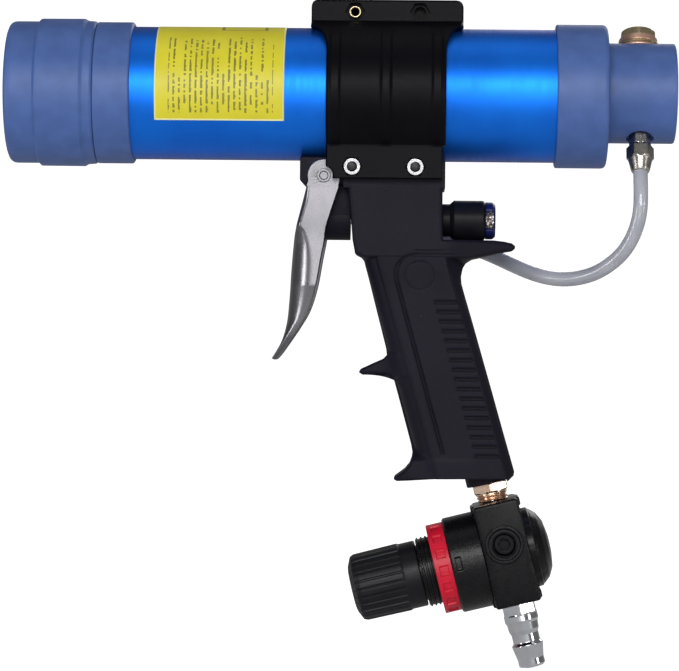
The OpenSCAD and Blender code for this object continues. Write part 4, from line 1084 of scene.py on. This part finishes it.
for side, label in ((-1, "near"), (1, "far")):
    settle(ear(f"trigger_ear_{label}", side), plated, "trigger", "plated_steel")
settle(turned("pivot_pin", rounded([
    (-16.0, 0, 0), (-16.0, 1.5, 0), (-16.4, 1.9, 0.1), (-16.4, 2.8, 0.3), (-15.7, 2.8, 0.2),
    (-15.7, 1.88, 0), (16.9, 1.88, 0.4), (16.9, 0, 0)], closed=False), axes=ALONG_Y,
    origin=PIVOT, sides=64, closed=False),
    plated, "gun", "zinc_steel", "trigger_pin")


# ---- Exhaust silencer and hose elbow ------------------------------------------------------
# A moulded silencer screws into the back of the valve block: a black barrel, a navy ring with a
# window, and a wire screen that shows in it. The hose's elbow is on the far side of the block.
VALVE = (0.0, 0.0, -51.8)
fitting_black = finish_of("fitting_plastic", (0.0075, 0.0075, 0.0110),
                          (0.0050, 0.0050, 0.0075), rough=(0.34, 0.46), shine=0.12, bump=0.15, depth=0.02,
                          mottle=110.0)
navy = finish_of("ring_navy", (0.010, 0.014, 0.100), (0.006, 0.009, 0.070), rough=(0.28, 0.4),
                 bump=0.12, depth=0.02, mottle=150.0)
settle(turned("silencer_barrel", rounded([
    (173.2, 2.6, 0), (173.2, 4.9, 0.2), (180.1, 4.9, 0), (180.1, 6.8, 0.3), (183.2, 6.8, 0.3),
    (183.9, 7.5, 0.3), (184.9, 8.3, 0.5), (197.0, 8.3, 0.5), (197.8, 7.4, 0.2),
    (197.8, 6.9, 0.1), (186.6, 6.9, 0), (186.6, 2.6, 0)]), origin=VALVE, sides=128),
    fitting_black, "gun", "fitting_black", "silencer_body")


def window(angle):
    """One inside the collar's window on the near side, nought outside, with soft edges."""
    off = np.abs(np.mod(angle, 2 * math.pi) - 1.5 * math.pi)
    return np.clip((0.57 - off) / 0.05, 0, 1)


settle(turned("silencer_collar", rounded([
    (192.0, 5.7, 0), (192.0, 6.8, 0), (197.9, 6.8, 0), (197.9, 7.7, 0.3), (200.8, 7.7, 1.0),
    (202.0, 6.6, 0.4), (202.0, 5.9, 0.2), (201.4, 5.7, 0)]), origin=VALVE, sides=256,
    shape=lambda a, r, angle: r - 1.1 * window(angle) * (a > 198.1) * (r > 6.5)),
    navy, "gun", "ring_navy", "silencer_ring")


mesh_steel = bpy.data.materials.new("woven_screen")
tree, shader = tree_of(mesh_steel)
soft, _, _ = grain_of(tree, 300.0, 2000.0)
weave = tree.nodes.new("ShaderNodeTexVoronoi")
tree.links.new(tree.nodes.new("ShaderNodeTexCoord").outputs["Object"], weave.inputs["Vector"])
weave.inputs["Scale"].default_value = 900.0
wire = ranged(tree, weave.outputs["Distance"], 0.25, 0.55, 0.0, 1.0)
tree.links.new(blended(tree, wire, (0.72, 0.68, 0.64), (0.10, 0.08, 0.07)),
               shader.inputs["Base Color"])
tree.links.new(ranged(tree, soft, 0.3, 0.7, 0.25, 0.45), shader.inputs["Roughness"])
shader.inputs["Metallic"].default_value = 1.0
bumped(tree, shader, wire, 0.6, 0.0002)
settle(turned("silencer_mesh", rounded([
    (187.0, 0, 0), (187.0, 5.6, 0.2), (200.4, 5.6, 0.8), (201.4, 0.0, 0)], closed=False),
    origin=VALVE, sides=96, closed=False), mesh_steel, "gun", "sinter", "silencer_screen")

settle(turned("silencer_wool", steady(198.2, 201.3, 0.12, 6.5, 6.1), origin=VALVE, sides=320,
              shape=lambda a, r, angle: r + window(angle) * (
                  0.75 + 0.16 * np.sin(9 * angle + 3.1 * a) + 0.10 * np.sin(23 * angle - 5 * a))),
       mesh_steel, "gun", "sinter")

ELBOW = np.array([161.9, 0.0, -51.8])
settle(turned("elbow_body", rounded([
    (6.6, 0, 0), (6.6, 4.2, 0.3), (16.55, 4.2, 0), (16.55, 5.55, 0.4), (27.0, 5.55, 1.6),
    (28.6, 4.0, 0.8), (28.6, 0, 0)], closed=False), axes=ALONG_Y, origin=ELBOW, sides=96,
    closed=False), fitting_black, "gun", "fitting_black", "hose_elbow")
DIP = math.radians(20.0)
ARM = [np.array([math.cos(DIP), 0, -math.sin(DIP)]), np.array([0, 1.0, 0]),
       np.array([math.sin(DIP), 0, math.cos(DIP)])]
settle(turned("elbow_arm", rounded([
    (0, 0, 0), (0, 4.75, 1.0), (11.2, 4.75, 0.3), (11.2, 4.3, 0.2), (12.0, 4.3, 0.2),
    (12.0, 4.7, 0.3), (14.0, 4.7, 0.5), (14.0, 3.02, 0.2), (6.0, 3.02, 0), (6.0, 0, 0)],
    closed=False), axes=ARM, origin=ELBOW + [0, 23.0, 0], sides=96, closed=False),
    fitting_black, "gun", "fitting_black")


# ---- Inlet nipple -------------------------------------------------------------------------
# A brass nipple joins the regulator to the grip's foot: a hexagon under the grip, then a pipe
# thread with two turns in view.
pale_brass = finish_of("pale_brass", (0.80, 0.60, 0.47), (0.70, 0.50, 0.38), rough=(0.22, 0.30),
                       metal=1.0, bump=0.05, depth=0.01, mottle=160.0, fine=1200.0)
settle(turned("inlet_nipple_turned", np.vstack([
    rounded([(-11, 3.2, 0), (-11, 6.5, 0.3), (0.05, 6.5, 0), (0.05, 7.9, 0.3),
             (3.1, 7.9, 0.3), (3.65, 7.0, 0.2)], closed=False),
    steady(3.75, 17.6, 0.16, 6.6),
    [[17.6, 3.2]]]), axes=DOWN_PIPE, origin=FOOT, sides=144,
    shape=lambda a, r, angle: threaded(1.34, 0.85, 3.7, 18.0)(
        a, hexed_between(14.0, 0.02, 3.4)(a, r, angle), angle), smooth_angle=25.0),
    pale_brass, "gun", "nickel_brass", "inlet_nipple")


# ---- Pressure regulator -------------------------------------------------------------------
# A small zinc die-casting, painted gloss black over a rough skin: a block with a flange at
# top and bottom, a round gauge boss on both sides, a domed cap behind and the bonnet ahead.
GAUGE = np.array([206.648, 0.0, -184.757])
ALONG_KNOB = np.array([math.cos(LEAN), 0.0, math.sin(LEAN)])
BLOCK_UP = np.array([-math.sin(LEAN), 0.0, math.cos(LEAN)])
KNOB_AXES = [ALONG_KNOB, np.array([0, 1.0, 0]), BLOCK_UP]
KNOB_AT = GAUGE - 4.8 * BLOCK_UP
cast_black = finish_of("cast_gloss_black", (0.0060, 0.0060, 0.0070), (0.0040, 0.0040, 0.0050),
                       rough=(0.12, 0.24), shine=0.12, bump=1.0, depth=0.14, mottle=260.0, fine=1900.0,
                       specks=620.0, speck_colour=(0.22, 0.22, 0.24), coat=0.12)


def rounded_box(name, low, high, radius, axes, origin, count=9):
    """A box with rounded edges: the points of a fine grid on a cube's surface are pulled on to
    a rounded box, by stepping in from the faces and out again along the direction from there."""
    low, high = np.array(low, float), np.array(high, float)
    lat = np.linspace(-math.pi / 2, math.pi / 2, count * 2)
    lon = np.linspace(0, 2 * math.pi, count * 4, endpoint=False)
    lat = np.insert(lat, count, lat[count - 1:count + 1].mean())
    direction = np.stack([np.cos(lat)[:, None] * np.cos(lon), np.cos(lat)[:, None]
                          * np.sin(lon), np.broadcast_to(np.sin(lat)[:, None],
                                                         (len(lat), len(lon)))], -1)
    sign = np.where(direction >= -1e-9, 1.0, -1.0)
    core = np.where(sign > 0, high - radius, low + radius)
    grid = core + radius * direction
    return new_object(name, grid_mesh(name, (grid @ np.array(axes) + origin) * MM,
                                      wrap_columns=True, smooth_angle=40.0))


block = rounded_box("regulator_block", (-9.2, -20.0, -25.4), (9.6, 20.0, 17.4), 1.2,
                    KNOB_AXES, GAUGE)
cut(block, drill("gauge_cut", -30, 30, 4.5, ALONG_Y, GAUGE, 64),
    drill("front_cut", -12, -8.0, 16.3, KNOB_AXES, KNOB_AT, 96),
    drill("low_port_cut", -30, -16, 6.6, [BLOCK_UP, np.array([0, 1.0, 0]), ALONG_KNOB],
          GAUGE, 64))
settle(block, cast_black, "gun", "cast_black", "regulator_body")
for n, (low, high) in enumerate(((-25.45, -21.6), (13.6, 17.45))):
    settle(rounded_box(f"regulator_flange_{n}", (-10.2, -9.5, low), (10.6, 9.5, high), 1.0,
                       KNOB_AXES, GAUGE), cast_black, "gun", "cast_black")
for side, label in ((-1, "near"), (1, "far")):
    ACROSS = [np.array([0, float(side), 0]), np.array([1.0, 0, 0]), np.array([0, 0, 1.0])]
    settle(turned(f"gauge_boss_{label}", rounded([
        (19.8, 4.45, 0), (19.8, 8.0, 0), (21.2, 7.9, 0.6), (21.2, 6.7, 0.4), (20.5, 6.3, 0.3),
        (20.5, 5.3, 0.3), (21.0, 4.9, 0.2), (20.4, 4.45, 0)]), axes=ACROSS, origin=GAUGE,
        sides=96), cast_black, "gun", "cast_black")
    settle(turned(f"gauge_plug_{label}", rounded([
        (10, 0, 0), (10, 4.3, 0.3), (18.4, 4.3, 0.6), (18.4, 2.6, 0.2), (15.4, 2.3, 0.2),
        (15.4, 0, 0)], closed=False), axes=ACROSS, origin=GAUGE, sides=72, closed=False,
        shape=lambda a, r, angle: np.where((r > 2.1) & (r < 2.7),
                                           hexed_between(4.7, 15, 19)(a, r, angle), r),
        smooth_angle=30.0),
        fitting_black, "gun", "fitting_black", *(["gauge_plugs"] if side < 0 else []))


def lobed(a, r, angle):
    """The domed cap's side, with four shallow hollows a quarter turn apart."""
    off = np.mod(angle, math.pi / 2) - math.pi / 4
    return r - 0.35 * np.exp(-(off / 0.12) ** 2) * (r > 15)


settle(turned("regulator_dome", rounded([
    (9.5, 0, 0), (9.5, 16.75, 0.3), (12.3, 16.6, 0.4), (12.7, 15.9, 0.3), (13.2, 15.7, 0.3),
    (15.6, 13.6, 2.5), (17.6, 9.8, 3.0), (18.5, 4.0, 2.0), (18.6, 0, 0)], closed=False),
    axes=KNOB_AXES, origin=KNOB_AT, sides=144, shape=lobed, closed=False),
    cast_black, "gun", "cast_black", "regulator_cap")


# ---- Bonnet, lock ring and knob -----------------------------------------------------------
# The bonnet covers the diaphragm spring. A red nylon ring with sixteen pockets clamps it to a
# panel, and the ribbed knob turns the adjusting screw; it is pulled out a little to turn.
bonnet_black = finish_of("bonnet_black", (0.0055, 0.0053, 0.0068), (0.0035, 0.0035, 0.0045),
                         rough=(0.24, 0.36), shine=0.25, bump=0.7, depth=0.14, mottle=200.0, fine=1200.0,
                         specks=620.0, speck_colour=(0.12, 0.12, 0.13))


def notched(a, r, angle):
    """A small square notch beside the lock ring on the near side."""
    off = np.abs(np.mod(angle, 2 * math.pi) - 1.5 * math.pi - 0.075)
    inside = eased(0.15 - off, 0.0, 0.03) * eased(a, -21.2, -20.9) * eased(-a, 18.6, 18.9)
    return r - 1.2 * inside * (r > 18.0)


ridge = []
for n in range(3):
    start = -35.2 + 1.8 * n
    ridge += [(start, 14.0, 0.1), (start + 0.25, 14.6, 0.15), (start + 0.75, 14.6, 0.15),
              (start + 1.0, 14.0, 0.1)]
settle(turned("bonnet_shell", rounded([
    (-35.5, 3.8, 0.1), (-35.5, 7.4, 0), (-42.0, 7.4, 0.2), (-42.0, 11.6, 0.2), (-35.5, 11.6, 0),
    (-35.5, 14.0, 0.2), *ridge, (-22.95, 14.0, 0), (-22.9, 19.3, 0.2), (-22.2, 19.95, 0.3),
    *[(-21.5 + 0.15 * n, 19.96, 0) for n in range(24)], (-9.3, 20.0, 0.2), (-9.2, 14.6, 0),
    (-19.8, 14.6, 0), (-19.8, 11.5, 0), (-31.5, 11.5, 0), (-31.5, 3.8, 0)]), axes=KNOB_AXES,
    origin=KNOB_AT, sides=360, shape=notched), bonnet_black, "gun", "cast_black", "bonnet")


def pocketed(a, r, angle):
    """Sixteen shallow square pockets round the lock ring."""
    step = 2 * math.pi / 16
    across = np.abs(np.mod(angle + step / 2, step) - step / 2) * 18.65
    inside_pocket = np.minimum(eased(2.2 - across, 0.0, 0.35),
                               np.minimum(eased(a, -28.3, -27.95), eased(-a, 24.3, 24.65)))
    return np.where(r > 17.0, r - 0.75 * inside_pocket, r)


lock_line = rounded([(-29.9, 14.35, 0.2), (-29.9, 18.65, 0.9), (-29.0, 18.65, 0)],
                    closed=False)
lock_line = np.vstack([lock_line, steady(-28.9, -23.5, 0.12, 18.65),
                       rounded([(-23.4, 18.65, 0), (-22.9, 18.65, 0.3), (-22.9, 14.35, 0.2)],
                               closed=False)])
lock_red = finish_of("ring_red", (0.64, 0.010, 0.036), (0.52, 0.006, 0.026),
                     rough=(0.30, 0.42), shine=0.3, bump=0.15, depth=0.03, mottle=120.0)
settle(turned("panel_ring", lock_line, axes=KNOB_AXES, origin=KNOB_AT, sides=480,
              shape=pocketed), lock_red, "gun", "lock_red", "lock_ring")


def ribbed(a, r, angle):
    """Twenty-six narrow grooves along the knob, between raised lands with soft edges."""
    step = 2 * math.pi / 26
    across = np.abs(np.mod(angle, step) - step / 2) * 14.2
    groove = 0.48 * (1 - eased(across, 0.18, 0.62))
    on_side = eased(-a, 43.0, 43.5) * (r > 9.0)
    return r - groove * on_side


knob_line = np.vstack([
    rounded([(-64.6, 0, 0), (-65.5, 7.5, 3.0), (-65.1, 9.6, 0.8), (-63.4, 13.3, 1.0),
             (-61.9, 13.9, 0.5)], closed=False),
    steady(-61.5, -43.6, 0.6, 13.95, 14.2), steady(-43.5, -42.6, 0.1, 14.2, 13.85),
    rounded([(-42.4, 13.8, 0), (-36.4, 13.8, 0.5), (-36.0, 13.4, 0.2), (-36.0, 12.0, 0.2),
             (-58.5, 12.0, 0), (-58.5, 6.4, 0), (-37.0, 6.4, 0.2), (-37.0, 3.75, 0.1),
             (-58.0, 3.75, 0), (-58.0, 0, 0)], closed=False)])
knob_black = finish_of("knob_black", (0.0060, 0.0060, 0.0085), (0.0040, 0.0040, 0.0060),
                       rough=(0.34, 0.46), shine=0.25, bump=0.2, depth=0.03, mottle=90.0, fine=1300.0)
settle(turned("knob_grip", knob_line, axes=KNOB_AXES, origin=KNOB_AT, sides=520,
              shape=ribbed, closed=False), knob_black, "knob", "knob_black", "knob")


# ---- Air inlet plug -----------------------------------------------------------------------
# The quick-connect plug is turned steel with a bright chrome plate: a hexagon, two shoulders,
# the waist where the coupler's balls lock, and a slim nose.
chrome = finish_of("bright_chrome", (0.76, 0.77, 0.80), (0.66, 0.67, 0.71), rough=(0.06, 0.14),
                   metal=1.0, bump=0.06, depth=0.01, mottle=180.0)
settle(turned("quick_plug", rounded([
    (17.0, 2.8, 0), (17.0, 6.5, 0.2), (25.4, 6.5, 0), (25.4, 7.6, 0.3), (30.3, 7.6, 0.3),
    (31.0, 7.0, 0.3), (33.3, 7.1, 0.4), (34.4, 6.55, 0.4), (37.4, 6.3, 0.4),
    (39.0, 5.65, 0.6), (42.4, 5.65, 0.6), (43.6, 6.6, 0.5), (49.5, 5.5, 1.5),
    (52.2, 5.5, 0.6), (53.0, 4.7, 0.3), (53.0, 2.8, 0.3)]), axes=DOWN_PIPE, origin=GAUGE,
    sides=160, shape=hexed_between(13.4, 25.3, 30.6), smooth_angle=30.0),
    chrome, "gun", "plated_steel", "air_inlet_plug")


# ---- Hidden parts -------------------------------------------------------------------------
# The washer, seals, valve stem, springs and the regulator's inside keep their plain shapes;
# each gets the finish of its real stock.
rubber = finish_of("nitrile_rubber", (0.016, 0.016, 0.016), (0.010, 0.010, 0.010),
                   rough=(0.6, 0.75), bump=0.2, depth=0.03)
spring_wire = finish_of("spring_wire", (0.45, 0.45, 0.47), (0.33, 0.33, 0.35),
                        rough=(0.25, 0.4), metal=1.0)
INNER = {
    rubber: ("cap_washer", "head_oring", "cartridge_seal", "stem_orings", "diaphragm"),
    spring_wire: ("valve_spring", "main_spring", "poppet_spring", "pin_clip"),
    brass: ("valve_bush", "poppet"),
    zinc: ("valve_stem", "diaphragm_plate", "spring_seat", "adjusting_screw")}
for material, names in INNER.items():
    for name in names:
        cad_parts[name].data.materials.clear()
        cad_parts[name].data.materials.append(material)
